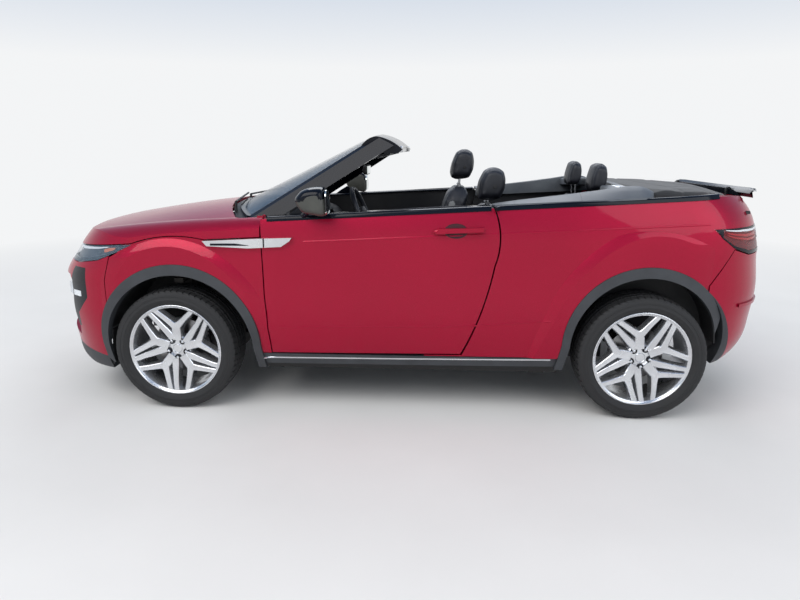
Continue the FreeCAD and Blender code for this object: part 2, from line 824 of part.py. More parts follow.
def cladding():
    pieces = []
    band = box(nose_x, tail_x, side_y - 62.0, 1200, 200, 1000)
    for end in ("front", "rear"):
        outer = arch_prism(end, True, -1.0, side_y - 62.0, 1200)
        hole = arch_prism(end, False, 0.0, 300, 1300)
        clad = outer.cut(hole).common(clad_limit).common(band)
        low = 262.0 if end == "front" else 280.0
        clad = clad.common(box(nose_x, tail_x, 0, 1200, low, 1000))
        pieces.append(clad)
    sill = side_prism(
        [
            (front_x + 430.0, 284.0),
            (rear_x - 400.0, 296.0),
            (rear_x - 400.0, sill_top_z - 3.0),
            (front_x + 430.0, sill_top_z - 3.0),
        ],
        side_y - 120.0,
        1200,
    ).common(body_volume(BODY_LEVELS, -4.0))
    arches = arch_prism("front", False, 0.0, 300, 1300).fuse(arch_prism("rear", False, 0.0, 300, 1300))
    sill = sill.cut(arches)
    return fused([*pieces, sill])


# Windscreen: a frame of two pillars and a header round a curved pane
# Columns: station, half-width outside, half-width inside, height
PILLAR_BASE = (front_x + 414.0, 768.0, 690.0, 1118.0)
PILLAR_TOP = (front_x + 1147.0, 592.0, 512.0, 1572.0)
pillar_depth = 196.0


def pillar_section(z, inner_grow=0.0, outer_shrink=0.0):
    share = (z - PILLAR_BASE[3]) / (PILLAR_TOP[3] - PILLAR_BASE[3])
    x, outer, inner = (a + share * (b - a) for a, b in zip(PILLAR_BASE[:3], PILLAR_TOP[:3]))
    return x, outer - outer_shrink, inner + inner_grow


def pillar():
    wires = []
    for z in (1085.0, header_z - 12.0):
        x, outer, inner = pillar_section(z)
        corners = [
            (x, inner), (x + 10.0, outer - 26.0), (x + 42.0, outer), (x + pillar_depth, outer + 4.0),
            (x + pillar_depth, outer - 34.0), (x + 70.0, inner),
        ]
        wires.append(wire(corners, lambda a, b, z=z: V(a, b, z)))
    x = PILLAR_TOP[0]
    under_header = side_prism(
        [(front_x, 1000.0), (x + 156.0, 1000.0), (x + 156.0, header_z - 81.0), (x + 8.0, header_z - 8.0),
         (front_x, header_z - 8.0)],
        0.0, 1000.0,
    )
    return Part.makeLoft(wires, True, True).common(under_header)


crown_radius = 9000.0


def crowned(points, half_width, top_z):
    """An outline in X and Z swept across the car along a shallow arc whose top passes top_z."""
    face = Part.Face(wire(points, lambda x, z: V(x, 0, z)))
    turn = math.degrees(math.asin(half_width / crown_radius))
    axis = V(0, 0, top_z - crown_radius)
    start = face.copy()
    start.rotate(axis, V(1, 0, 0), -turn)
    return start.revolve(axis, V(1, 0, 0), 2 * turn)


def header():
    x = PILLAR_TOP[0]
    outline = [
        (x - 88.0, header_z - 52.0),
        ((x - 42.0, header_z - 2.0), (x + 8.0, header_z + 13.0)),
        ((x + 88.0, header_z - 12.0), (x + 158.0, header_z - 62.0)),
        (x + 130.0, header_z - 82.0),
        (x + 62.0, header_z - 86.0),
        (x - 30.0, header_z - 58.0),
    ]
    return crowned(outline, 596.0, header_z + 13.0)


def pane_section(z, front, rear, half_width):
    """One level of the pane: an arc in plan, bowed forwards in the middle, with the given thickness."""
    x = pillar_section(z)[0]
    share = (z - PILLAR_BASE[3]) / (PILLAR_TOP[3] - PILLAR_BASE[3])
    bow = 196.0 - 138.0 * share
    rise = 44.0 - 30.0 * share
    tilt = rise / bow
    at = lambda dx, y: V(x, y, z) + V(-bow, 0, rise).multiply(1 - (y / half_width) ** 2) + V(dx, 0, -dx * tilt)
    points = [at(front, half_width), at(front, 0), at(front, -half_width)]
    back = [at(rear, -half_width), at(rear, 0), at(rear, half_width)]
    return Part.Wire([
        Part.Arc(*points).toShape(),
        Part.LineSegment(points[2], back[0]).toShape(),
        Part.Arc(*back).toShape(),
        Part.LineSegment(back[2], points[0]).toShape(),
    ])


def windscreen_frame():
    base = Part.Face(pane_section(1126.0, -8.0, 120.0, 750.0)).extrude(V(0, 0, -66.0))
    sides = [pillar(), mirrored(pillar())]
    frame = fused([header(), *sides, base, bonnet_pin(), mirrored(bonnet_pin())])
    return biggest(frame)


def windscreen_glass(frame):
    low, high = 1112.0, header_z - 42.0
    pane = Part.makeLoft(
        [
            pane_section(low, 6.0, 18.0, pillar_section(low)[2] + 22.0),
            pane_section(high, 6.0, 18.0, pillar_section(high)[2] + 22.0),
        ],
        True, True,
    )
    return biggest(pane.cut(frame))


def scuttle(frame):
    """The black panel between the bonnet's rear edge and the windscreen."""
    zone = plan_prism(
        [
            (cowl_x + 180.0, -760.0),
            ((cowl_x - 6.0 + shut_gap, 0.0), (cowl_x + 180.0, 760.0)),
            (cowl_x + 250.0, 772.0),
            ((cowl_x + 60.0, 0.0), (cowl_x + 250.0, -772.0)),
        ],
        1096, 1300,
    )
    panel = bonnet_volume(16.0).common(zone).cut([frame, plan_prism(bonnet_rear(shut_gap), 700, 1400)])
    return biggest(panel)


def wipers(panel):
    arms = []
    for y0, y1 in ((-560.0, 20.0), (70.0, 590.0)):
        x0 = cowl_x + 10.0
        foot = V(x0 + 0.00031 * y0 * y0, y0, 1188.0)
        tip = V(x0 + 0.00031 * y1 * y1, y1, 1200.0)
        arms.append(fused([rod(foot + V(0, 0, -90.0), foot, 8.0), rod(foot, tip, 6.0)]).cut(panel))
    return solids(*[biggest(a) for a in arms])


# Structure under the panels
floor_front = bulkhead_x - 20.0
floor_rear = rear_x - 385.0
sill_y = side_y - 124.0
tunnel_y = 105.0
post_y = 789.0
post_top_z = 1032.0
tunnel_z = floor_z + floor_plate + 130.0


jacking_pad_z = floor_z - 10.0


def jacking_pad(x):
    """The flat pad under the right sill that a jack lifts the car by."""
    return box(x - 45.0, x + 45.0, sill_y - 80.0, sill_y - 15.0, jacking_pad_z, floor_z + 1.0)


def floor_pan():
    top = floor_z + floor_plate
    plate = box(floor_front, floor_rear, -sill_y, sill_y, floor_z, top)
    sill = box(front_x + 486.0, rear_x - 450.0, sill_y - 95.0, sill_y, floor_z, sill_top_z - 4.0)
    tunnel = box(floor_front, floor_rear, -tunnel_y, tunnel_y, floor_z, tunnel_z)
    firewall = box(floor_front, floor_front + 20.0, -770.0, 770.0, floor_z, 1035.0)
    kick = box(floor_rear - 20.0, floor_rear, -650.0, 650.0, floor_z, 430.0)
    seat_pan = box(floor_rear - 20.0, rear_x - 90.0, -636.0, 636.0, 410.0, 430.0)
    bore = box(floor_front - 10, floor_rear + 10, 16.0 - tunnel_y, tunnel_y - 16.0, floor_z - 10, tunnel_z - 18.0)
    post = box(hinge_x - 114.0, hinge_x - 22.0, 722.0, post_y, floor_z, post_top_z)
    post = post.cut(arch_space("front", 400.0)).fuse([hinge_arm(z).cut(post) for z in HINGE_ARMS])
    pan = fused([plate, sill, mirrored(sill), tunnel, firewall, kick, seat_pan, post, mirrored(post)])
    hollows = [arch_prism("front", False, 8.0, 452.0, 1300), arch_prism("rear", False, 8.0, 652.0, 1300)]
    pan = biggest(pan.cut([bore, *hollows, *[mirrored(h) for h in hollows]]))
    pads = [jacking_pad(x) for x in (front_x + 560.0, rear_x - 560.0)]
    return fused([pan, *pads, *[mirrored(p) for p in pads]])


def arch_liner(end, y0, y1, z_low):
    """The curved inner skin over a wheel."""
    x, z, r, _, _ = ARCHES[end]
    shell = ring([(r + 14.0, y0), (r + 14.0, y1), (r + 21.0, y1), (r + 21.0, y0)], x, z)
    end_wall = ring([(0.0, y0), (0.0, y0 + 8.0), (r + 21.0, y0 + 8.0), (r + 21.0, y0)], x, z)
    return shell.fuse(end_wall).common(box(x - 700, x + 700, 0, 1200, z_low, 1400))


def arch_space(end, y0, grow=0.0):
    """The room inside an arch liner, outboard of y0."""
    x, z, r, _, _ = ARCHES[end]
    return Part.makeCylinder(r + 14.0 + grow, 1200 - y0, V(x, y0, z), V(0, 1, 0))


def arch_liners(bumper, behind):
    """The inner skins over the four wheels, cut clear of the bumper in front and of the panels behind."""
    front = arch_liner("front", 462.0, side_y - wing_wall - 8.0, 470.0).cut(box(floor_front, 0, 0, 1200, 0, 1400))
    rear = arch_liner("rear", 640.0, side_y - 108.0, 434.0)
    return solids(pair(biggest(front.cut(bumper))), pair(biggest(rear.cut(behind))))


eye_hole_radius = 18.0
eye_thickness = 14.0


def lashing_eye(x, z, top_z, y):
    """A plate with a round hole, hanging from a rail: its centre, top and inner face."""
    plate = side_prism(
        [(x - 30.0, z), ((x, z - 30.0), (x + 30.0, z)), (x + 30.0, top_z), (x - 30.0, top_z)], y, y + eye_thickness
    )
    return plate.cut(Part.makeCylinder(eye_hole_radius, eye_thickness + 2.0, V(x, y - 1.0, z), V(0, 1, 0)))


def front_structure():
    rail = box(nose_x + 130.0, floor_front, 398.0, 452.0, 400.0, 540.0)
    tower = box(front_x - 100.0, front_x + 100.0, 452.0, 640.0, 690.0, 985.0)
    apron = box(nose_x + 250.0, floor_front, 452.0, 462.0, 440.0, 700.0)
    side = [rail, apron, tower.cut(arch_space("front", 462.0, 7.0 + seat_gap))]
    carrier = box(nose_x + 165.0, nose_x + 190.0, -470.0, 470.0, 400.0, 800.0)
    carrier = carrier.cut(box(nose_x + 100, nose_x + 300, -360.0, 360.0, 430.0, 770.0))
    mounts = [box(front_x - 240.0, front_x - 160.0, 350.0, 400.0, 480.0, 520.0)]
    side += mounts
    side.append(lashing_eye(nose_x + 320.0, 290.0, 410.0, 418.0))
    slam = box(nose_x + 165.0, nose_x + 235.0, -560.0, 560.0, 795.0, 822.0)
    beam = box(nose_x + 122.0, nose_x + 160.0, -470.0, 470.0, 400.0, 500.0)
    return fused([*side, *[mirrored(s) for s in side], carrier, slam, beam])


def rear_structure():
    x = rear_x
    shelf = box(x - 90.0, x + 640.0, -560.0, 560.0, 560.0, 580.0)
    wall = box(x - 90.0, x - 70.0, -640.0, 640.0, 434.0, 1150.0)
    rail = box(x - 90.0, x + 640.0, 410.0, 470.0, 450.0, 562.0)
    side_wall = box(x - 80.0, x + 600.0, 548.0, 562.0, 560.0, 1100.0)
    well = box(x - 80.0, lid_hinge()[0] - 6.0, -705.0, 705.0, 1080.0, 1100.0)
    panel = box(x + 620.0, x + 640.0, -480.0, 480.0, 560.0, 880.0)
    link = box(x - 60.0, x + 20.0, 548.0, 640.0, 560.0, 640.0)
    eye = lashing_eye(x + 440.0, 358.0, 460.0, 433.0)
    side = [rail, side_wall, link, lid_bracket(), eye]
    return fused([shelf, wall, well, panel, *side, *[mirrored(s) for s in side]])


# Cabin
def dashboard():
    x = bulkhead_x
    outline = [
        (x + 2.0, 1034.0),
        (x + 2.0, 740.0),
        (x + 150.0, 700.0),
        (x + 300.0, 760.0),
        (x + 345.0, 880.0),
        ((x + 372.0, 985.0), (x + 300.0, 1062.0)),
        ((x + 200.0, 1092.0), (x + 60.0, 1078.0)),
    ]
    shape = side_prism(outline, -720.0, 720.0)
    hood = rod(V(x + 210.0, -365.0, 1050.0), V(x + 392.0, -365.0, 1040.0), 118.0)
    hood = hood.common(box(x + 200, x + 400, -500, -240, 1015, 1145))
    stack = side_prism([(x + 120.0, 705.0), (x + 120.0, 520.0), (x + 250.0, 520.0), (x + 330.0, 780.0)], -125.0, 125.0)
    column = rod(wheel_hub_point(370.0), wheel_hub_point(34.0), 38.0)
    bore = rod(wheel_hub_point(58.0 + seat_gap), wheel_hub_point(30.0), column_shaft_radius + pin_gap)
    return biggest(fused([shape, hood, stack, column]).cut(bore))


steering_centre = V(front_x + 1046.0, -360.0, 1097.0)
steering_rake = 23.0
steering_radius = 185.0
column_shaft_radius = 10.0


def wheel_hub_point(distance):
    """A point on the steering column's line, forward of the wheel by a distance."""
    rake = math.radians(steering_rake)
    return steering_centre + V(-math.cos(rake), 0, -math.sin(rake)).multiply(distance)


def steering_wheel():
    rim = Part.makeTorus(steering_radius - 15.0, 15.0, V(0, 0, 0), V(1, 0, 0))
    hub = Part.makeCylinder(62.0, 44.0, V(-26.0, 0, 0), V(1, 0, 0))
    spokes = [
        box(-9.0, 9.0, 30.0, steering_radius - 14.0, -20.0, 18.0),
        box(-9.0, 9.0, -steering_radius + 14.0, -30.0, -20.0, 18.0),
        box(-9.0, 9.0, -17.0, 17.0, -steering_radius + 14.0, -30.0),
    ]
    shaft = Part.makeCylinder(column_shaft_radius, 40.0, V(-58.0, 0, 0), V(1, 0, 0))
    shape = fused([rim, hub, *spokes, shaft])
    shape.rotate(V(0, 0, 0), V(0, 1, 0), -steering_rake)
    shape.translate(steering_centre)
    return shape


def centre_console():
    x, end = bulkhead_x, floor_rear - 240.0
    outline = [
        (x + 135.0, tunnel_z), (end, tunnel_z), (end, 560.0), (front_x + 1240.0, 640.0), (front_x + 830.0, 640.0),
        (x + 262.0, 560.0), (x + 245.0, 515.0), (x + 135.0, 515.0),
    ]
    block = side_prism(outline, -100.0, 100.0)
    knob = rod(V(front_x + 870.0, 0, 630.0), V(front_x + 870.0, 0, 668.0), 28.0)
    return biggest(fused([block, knob]))


# Columns: side of the car, shift along the car, top of the backrest, low and high edge and station of the headrest
FRONT_SEATS = (
    (1.0, 0.0, 1253.0, 1288.0, 1497.0),
    (-1.0, 165.0, 1180.0, 1194.0, 1390.0),
)
seat_y = 360.0


def front_seat(side, shift, back_top, rest_low, rest_high):
    x = front_x + 1000.0 + shift
    cushion = side_prism(
        [
            (x, 400.0), (x + 500.0, 390.0), (x + 530.0, 470.0), (x + 440.0, 580.0),
            ((x + 200.0, 560.0), (x + 40.0, 612.0)), ((x - 26.0, 590.0), (x - 20.0, 520.0)),
        ],
        -250.0, 250.0,
    )
    lean = (back_top - 520.0) * 0.30
    back = side_prism(
        [
            (x + 395.0, 470.0), (x + 530.0, 450.0), (x + 545.0 + lean, back_top - 40.0),
            ((x + 528.0 + lean, back_top), (x + 470.0 + lean, back_top - 4.0)),
            (x + 430.0 + lean, back_top - 60.0), ((x + 420.0 + lean * 0.4, 800.0), (x + 410.0, 620.0)),
        ],
        -245.0, 245.0,
    )
    corner = cross_prism(
        [
            (-245.0, 300.0), (245.0, 300.0), (250.0, back_top - 200.0), ((225.0, back_top - 60.0), (150.0, back_top)),
            (-150.0, back_top), ((-225.0, back_top - 60.0), (-250.0, back_top - 200.0)),
        ],
        x, x + 900.0,
    )
    back = back.common(corner)
    rest = side_prism(
        [
            (x + 442.0 + lean, rest_low), (x + 556.0 + lean, rest_low + 6.0),
            ((x + 590.0 + lean, rest_low + 110.0), (x + 578.0 + lean, rest_high - 20.0)),
            ((x + 530.0 + lean, rest_high), (x + 492.0 + lean, rest_high - 20.0)),
        ],
        -128.0, 128.0,
    )
    stems = [
        rod(V(x + 498.0 + lean, y, back_top - 60.0), V(x + 506.0 + lean, y, rest_low + 40.0), 7.0)
        for y in (-60.0, 60.0)
    ]
    rails = [box(x + 30.0, x + 480.0, y - 18.0, y + 18.0, floor_z + floor_plate, 404.0) for y in (-190.0, 190.0)]
    seat = fused([cushion, back, rest, *stems, *rails])
    seat.translate(V(0, side * seat_y, 0))
    return biggest(seat)


def rear_seats():
    x = floor_rear - 200.0
    seats = []
    cushion = side_prism(
        [
            (x, 350.0), (x + 190.0, 430.5), (rear_x - 96.0, 430.5), (rear_x - 96.0, 560.0), (x + 380.0, 548.0),
            ((x + 160.0, 560.0), (x + 40.0, 585.0)), ((x - 20.0, 560.0), (x, 500.0)),
        ],
        60.0, 600.0,
    ).cut(box(0, floor_rear + 4.0, 0, 700, 300, 434.0))
    back = side_prism(
        [
            (rear_x - 250.0, 540.0), (rear_x - 96.0, 540.0), (rear_x - 92.0, 1160.0), (rear_x - 140.0, 1200.0),
            (rear_x - 190.0, 1180.0),
        ],
        60.0, 600.0,
    )
    rest = side_prism(
        [
            (rear_x - 236.0, 1250.0), (rear_x - 140.0, 1244.0), ((rear_x - 112.0, 1330.0), (rear_x - 132.0, 1410.0)),
            ((rear_x - 170.0, 1428.0), (rear_x - 214.0, 1408.0)),
        ],
        210.0, 450.0,
    )
    stems = [rod(V(rear_x - 160.0, y, 1150.0), V(rear_x - 172.0, y, 1290.0), 7.0) for y in (270.0, 390.0)]
    seats = fused([cushion, back, rest, *stems])
    divider = box(rear_x - 240.0, rear_x - 96.0, -62.0, 62.0, 540.0, 1090.0)
    base = box(x + 200.0, rear_x - 96.0, -62.0, 62.0, 431.0, 545.0)
    return biggest(fused([seats, mirrored(seats), divider, base]))


def cabin_trim(panel):
    """Side trim beside the rear seats, up to the quarter panel's waist."""
    x0 = door_rear_x - 20.0
    outline = [
        (x0 - 120.0, sill_top_z), (rear_x - 300.0, sill_top_z), (rear_x - 95.0, 800.0),
        (rear_x - 95.0, belt_z(rear_x) - 60.0), (x0 - 10.0, belt_z(x0) - 60.0), (x0 - 120.0, 700.0),
    ]
    side = side_prism(outline, side_y - 172.0, side_y - 147.0)
    flange = side_prism(
        [(x0 - 10.0, 900.0), (x0 + 30.0, 900.0), (x0 + 30.0, belt_z(x0) - 60.0), (x0 - 10.0, belt_z(x0) - 60.0)],
        side_y - 172.0, side_y,
    )
    shelf = box(rear_x - 620.0, rear_x - 260.0, 640.0, side_y - 160.0, 660.0, 700.0)
    foot = box(x0 - 60.0, rear_x - 460.0, side_y - 172.0, sill_y, sill_top_z - 4.0, sill_top_z + 20.0)
    trim = fused([side, shelf, foot, flange]).cut(side_prism(door_side(door_rear_gap), side_y - 147.0, 1200))
    space = Part.makeCylinder(ARCHES["rear"][2] + 22.0, 600.0, V(ARCHES["rear"][0], 600.0, ARCHES["rear"][1]), V(0, 1, 0))
    return pair(biggest(trim.cut([space, panel])))


def deck_panel():
    """The trim round the rear of the cabin: an arm forward on each side, and a bridge behind the head restraints."""
    x0, x1 = door_rear_x - 30.0, rear_x + 40.0
    arm = side_prism(
        [
            (x0, belt_z(x0) - 54.0), (x1, belt_z(x1) - 54.0), (x1, belt_z(x1) + 50.0),
            ((rear_x - 320.0, belt_z(rear_x - 320.0) + 42.0), (x0 + 60.0, belt_z(x0) + 18.0)), (x0, belt_z(x0) + 6.0),
        ],
        705.0, 800.0,
    )
    bridge = crowned(
        [
            (rear_x - 190.0, 1262.0), (rear_x - 30.0, 1240.0), (rear_x - 10.0, 1282.0),
            ((rear_x - 90.0, 1306.0), (rear_x - 186.0, 1304.0)),
        ],
        735.0, 1306.0,
    )
    bridge = bridge.cut(box(rear_x - 300.0, rear_x - 94.0, -490.0, 490.0, 1100, 1400))
    return arm, bridge


soft_top_crown = 5200.0


def soft_top():
    """The folded soft top lying in its well, inside the quarter panels."""
    x0, x1 = rear_x + 2.0, lid_hinge()[0] - 16.0
    profile = [
        (x0, 1000.0), (x1, 1000.0), (x1, 1256.0), ((rear_x + 380.0, 1302.0), (rear_x + 170.0, 1322.0)),
        ((rear_x + 60.0, 1318.0), (x0, 1290.0)),
    ]
    face = Part.Face(wire(profile, lambda x, z: V(x, 0, z)))
    turn = math.degrees(math.asin(800.0 / soft_top_crown))
    axis = V(0, 0, 1322.0 - soft_top_crown)
    face.rotate(axis, V(1, 0, 0), -turn)
    mound = face.revolve(axis, V(1, 0, 0), 2 * turn)
    room = body_volume(BODY_LEVELS, quarter_wall + 4.0, quarter_end_wall + 4.0)
    room = room.common(box(x0 - 1.0, x1 + 1.0, -900.0, 900.0, 1100.0, 1500.0))
    beside_arm = box(x0 - 1.0, rear_x + 45.0, 700.0, 900.0, 1000.0, 1500.0)
    return biggest(mound.common(room).cut([beside_arm, mirrored(beside_arm)]))


def vents():
    """The bright vents that run from the wing across the door's front edge."""
    x = door_front_x
    outline = [
        (front_x + 217.0, 1004.0), (x - 20.0, 1020.0), (x + 164.0, 1026.0), (x + 152.0, 1008.0), (x + 104.0, 976.0),
        (x - 80.0, 966.0), (front_x + 240.0, 976.0),
    ]
    return side_prism(outline, side_y - 60.0, side_y + 8.0)


# Running gear
def turned_profile(points, angle=360):
    face = Part.Face(wire(points, lambda r, y: V(r, y, 0)))
    return face.revolve(V(0, 0, 0), V(0, 1, 0), angle)


def tyre():
    r, w, b = tyre_radius, tyre_width / 2, rim_radius
    return turned_profile(
        [
            (b - 9.0, -w + 26.0), (b + 18.0, -w + 8.0), ((b + 48.0, -w), (r - 28.0, -w + 7.0)),
            ((r - 8.0, -w + 20.0), (r - 3.0, -w + 44.0)), ((r, 0.0), (r - 3.0, w - 44.0)),
            ((r - 8.0, w - 20.0), (r - 28.0, w - 7.0)), ((b + 48.0, w), (b + 18.0, w - 8.0)), (b - 9.0, w - 26.0),
        ]
    )


def bar(a, b, width_a, width_b, y0, y1):
    """A tapering spoke in the wheel's plane, from a to b."""
    dx, dz = b[0] - a[0], b[1] - a[1]
    length = math.hypot(dx, dz)
    nx, nz = -dz / length, dx / length
    corners = [
        (a[0] + nx * width_a / 2, a[1] + nz * width_a / 2), (b[0] + nx * width_b / 2, b[1] + nz * width_b / 2),
        (b[0] - nx * width_b / 2, b[1] - nz * width_b / 2), (a[0] - nx * width_a / 2, a[1] - nz * width_a / 2),
    ]
    return side_prism(corners, y0, y1)


# One fifth of the wheel's face. Columns: start, end, width at the start and at the end
SPOKES = (
    ((0.0, 60.0), (0.0, 146.0), 54.0, 46.0),
    ((0.0, 134.0), (-117.0, 232.0), 37.0, 30.0),
    ((0.0, 134.0), (106.0, 238.0), 37.0, 30.0),
    ((-26.0, 66.0), (-92.0, 148.0), 42.0, 34.0),
    ((-92.0, 148.0), (-152.0, 221.0), 34.0, 32.0),
)
spoke_count = 5
bolt_circle = 54.0
bolt_radius = 6.5


def rim():
    """The wheel's rim, face outwards along -Y, for the left side."""
    w = rim_width / 2
    r = rim_radius
    barrel = turned_profile(
        [
            (r - 9.5, -w + 13.0), (r, -w + 13.0), (r, -w), (r - 6.0, -w), (r - 20.0, -w + 12.0), (r - 27.0, -w + 58.0),
            (r - 27.0, w - 12.0), (r, w), (r, w - 8.0), (r - 9.5, w - 10.0),
        ]
    )
    dish = turned_profile(
        [
            (0.0, -w + 34.0), (80.0, -w + 30.0), (r - 15.0, -w + 8.0), (r - 15.0, -w + 60.0), (110.0, -w + 82.0),
            (0.0, -w + 90.0),
        ]
    )
    spokes = []
    for n in range(spoke_count):
        for a, b, wide_a, wide_b in SPOKES:
            spoke = bar(a, b, wide_a, wide_b, -w, w)
            spoke.rotate(V(0, 0, 0), V(0, 1, 0), 360.0 / spoke_count * n)
            spokes.append(spoke)
    face = spokes[0].fuse(spokes[1:]).common(dish)
    hub = turned_profile([(0.0, -w + 38.0), (30.0, -w + 38.0), (32.0, -w + 44.0), (74.0, -w + 44.0), (78.0, -w + 88.0),
                          (0.0, -w + 88.0)])
    shape = fused([barrel, face, hub])
    holes = []
    for n in range(spoke_count):
        turn = math.radians(36.0 + 72.0 * n)
        at = V(bolt_circle * math.sin(turn), -w, bolt_circle * math.cos(turn))
        holes.append(Part.makeCylinder(bolt_radius, 120.0, at, V(0, 1, 0)))
    return biggest(shape.cut(holes))


stub_radius = 21.0


def brake_disc(outer):
    """Hub, brake disc and the studs that hold the wheel, for the left side."""
    w = rim_width / 2
    face = -w + 88.0
    shape = turned_profile(
        [
            (0.0, face), (72.0, face), (72.0, face + 30.0), (outer, face + 30.0), (outer, face + 54.0),
            (70.0, face + 54.0), (58.0, face + 46.0), (stub_radius + pin_gap, face + 46.0),
            (stub_radius + pin_gap, face + 12.0), (0.0, face + 12.0),
        ]
    )
    studs = []
    for n in range(spoke_count):
        turn = math.radians(36.0 + 72.0 * n)
        at = V(bolt_circle * math.sin(turn), face - 40.0, bolt_circle * math.cos(turn))
        studs.append(Part.makeCylinder(bolt_radius - 0.5, 42.0, at, V(0, 1, 0)))
    return fused([shape, *studs])


# Columns: name, station, half track, side of the car, turn of the wheel's face about its axle, disc radius
WHEELS = (
    ("front_left", front_x, wheel_y_front, -1, 2.0, disc_radius),
    ("front_right", front_x, wheel_y_front, 1, 2.0, disc_radius),
    ("rear_left", rear_x, wheel_y_rear, -1, -7.0, disc_radius - 12.0),
    ("rear_right", rear_x, wheel_y_rear, 1, -7.0, disc_radius - 12.0),
)
axle_z = tyre_radius


def seated(shape, x, y, side, turn):
    """The shape turned about the axle and moved to its wheel's place."""
    placed = shape.copy()
    placed.rotate(V(0, 0, 0), V(0, 1, 0), turn)
    if side > 0:
        placed.rotate(V(0, 0, 0), V(0, 0, 1), 180)
    placed.translate(V(x, side * y, axle_z))
    return placed


disc_back = rim_width / 2 - 88.0 - 54.0


def stub_axle(x, y):
    """The right stub axle that carries a hub: from the upright into the hub's bore."""
    return rod(V(x, y + disc_back - 10.0, axle_z), V(x, y + 8.0 - seat_gap, axle_z), stub_radius)


ball_stud_radius = 9.0
low_ball_z = 262.0
high_ball_z = 760.0


def steering_knuckle():
    """The right upright: hub carrier, tall arm over the tyre, caliper bracket and ball joint seats."""
    x, y = front_x, wheel_y_front
    inner = y + disc_back
    pivot = y - steer_axis_inboard
    carrier = rod(V(x, inner - 62.0, axle_z), V(x, inner - 6.0, axle_z), 52.0)
    spine = box(x - 32.0, x + 32.0, y - 170.0, y - 138.0, low_ball_z, high_ball_z)
    web = box(x - 32.0, x + 32.0, y - 170.0, inner - 30.0, axle_z - 32.0, axle_z + 32.0)
    head = box(x - 26.0, x + 26.0, y - 170.0, pivot + 22.0, high_ball_z - 26.0, high_ball_z)
    foot = box(x - 28.0, x + 28.0, y - 170.0, inner - 6.0, low_ball_z, low_ball_z + 36.0)
    pad = box(x + 30.0, x + 208.0, y - 168.0, y - 140.0, axle_z - 50.0, axle_z + 50.0)
    caliper = box(x + 80.0, x + 208.0, y - 150.0, inner - 6.0, axle_z - 50.0, axle_z + 50.0)
    seats = [
        rod(V(x, pivot, low_ball_z - 1.0), V(x, pivot, low_ball_z + 20.0 + seat_gap), ball_stud_radius + pin_gap),
        rod(V(x, pivot, high_ball_z - 20.0 - seat_gap), V(x, pivot, high_ball_z + 1.0), ball_stud_radius + pin_gap),
    ]
    shape = fused([carrier, spine, web, head, foot, pad, caliper, stub_axle(x, y)])
    return shape.cut(seats)


def front_subframe():
    x, y = front_x, wheel_y_front
    pivot = y - steer_axis_inboard
    cross = box(x + 10.0, x + 240.0, -400.0, 400.0, 225.0, 290.0)
    low_arm = plan_prism(
        [(x - 11.0, pivot), ((x, pivot + 11.0), (x + 11.0, pivot)), (x + 60.0, 640.0), (x + 220.0, 398.0),
         (x + 20.0, 398.0), (x - 44.0, 560.0)],
        224.0, 254.0,
    )
    high_arm = plan_prism(
        [(x - 20.0, pivot + 16.0), (x + 20.0, pivot + 16.0), (x + 44.0, 540.0), (x - 44.0, 540.0)],
        high_ball_z + 8.0, high_ball_z + 26.0,
    )
    studs = [
        rod(V(x, pivot, 250.0), V(x, pivot, low_ball_z + 20.0), ball_stud_radius),
        rod(V(x, pivot, high_ball_z + 12.0), V(x, pivot, high_ball_z - 20.0), ball_stud_radius),
    ]
    strut = rod(V(x, 540.0, 248.0), V(x, 540.0, 840.0), 22.0)
    spring = rod(V(x, 540.0, 540.0), V(x, 540.0, 790.0), 46.0)
    rack = rod(V(x + 205.0, -396.0, 320.0), V(x + 205.0, 396.0, 320.0), 26.0)
    mount = box(x + 150.0, x + 240.0, 340.0, 398.0, 288.0, 440.0)
    right = [low_arm, high_arm, strut, spring, mount, *studs]
    return fused([cross, rack, *right, *[mirrored(s) for s in right]])


def rear_axle():
    x, y = rear_x, wheel_y_rear
    inner = y + disc_back
    cross = box(x - 70.0, x + 120.0, -420.0, 420.0, 300.0, 350.0)
    diff = rod(V(x - 80.0, 0, 340.0), V(x + 130.0, 0, 340.0), 84.0)
    carrier = rod(V(x, inner - 60.0, axle_z), V(x, inner - 6.0, axle_z), 55.0)
    upright = box(x - 40.0, x + 40.0, inner - 60.0, inner - 30.0, 280.0, 430.0)
    low_arm = box(x - 60.0, x + 60.0, 400.0, inner - 34.0, 296.0, 326.0)
    high_arm = box(x + 60.0, x + 110.0, 400.0, inner - 34.0, 405.0, 428.0).fuse(
        box(x + 30.0, x + 110.0, inner - 60.0, inner - 34.0, 380.0, 428.0))
    shaft = rod(V(x, 60.0, 356.0), V(x, inner - 40.0, axle_z), 18.0)
    spring = rod(V(x + 20.0, 520.0, 320.0), V(x + 20.0, 520.0, 560.0), 44.0)
    mount = box(x - 68.0, x + 112.0, 412.0, 466.0, 345.0, 450.0)
    prop = rod(V(front_x + 262.0, 0, 318.0), V(x - 78.0, 0, 335.0), 28.0)
    right = [carrier, upright, low_arm, high_arm, shaft, spring, mount, stub_axle(x, y)]
    return fused([cross, diff, prop, *right, *[mirrored(s) for s in right]])


def engine():
    return box(front_x - 390.0, front_x + 150.0, -350.0, 350.0, 335.0, 985.0)


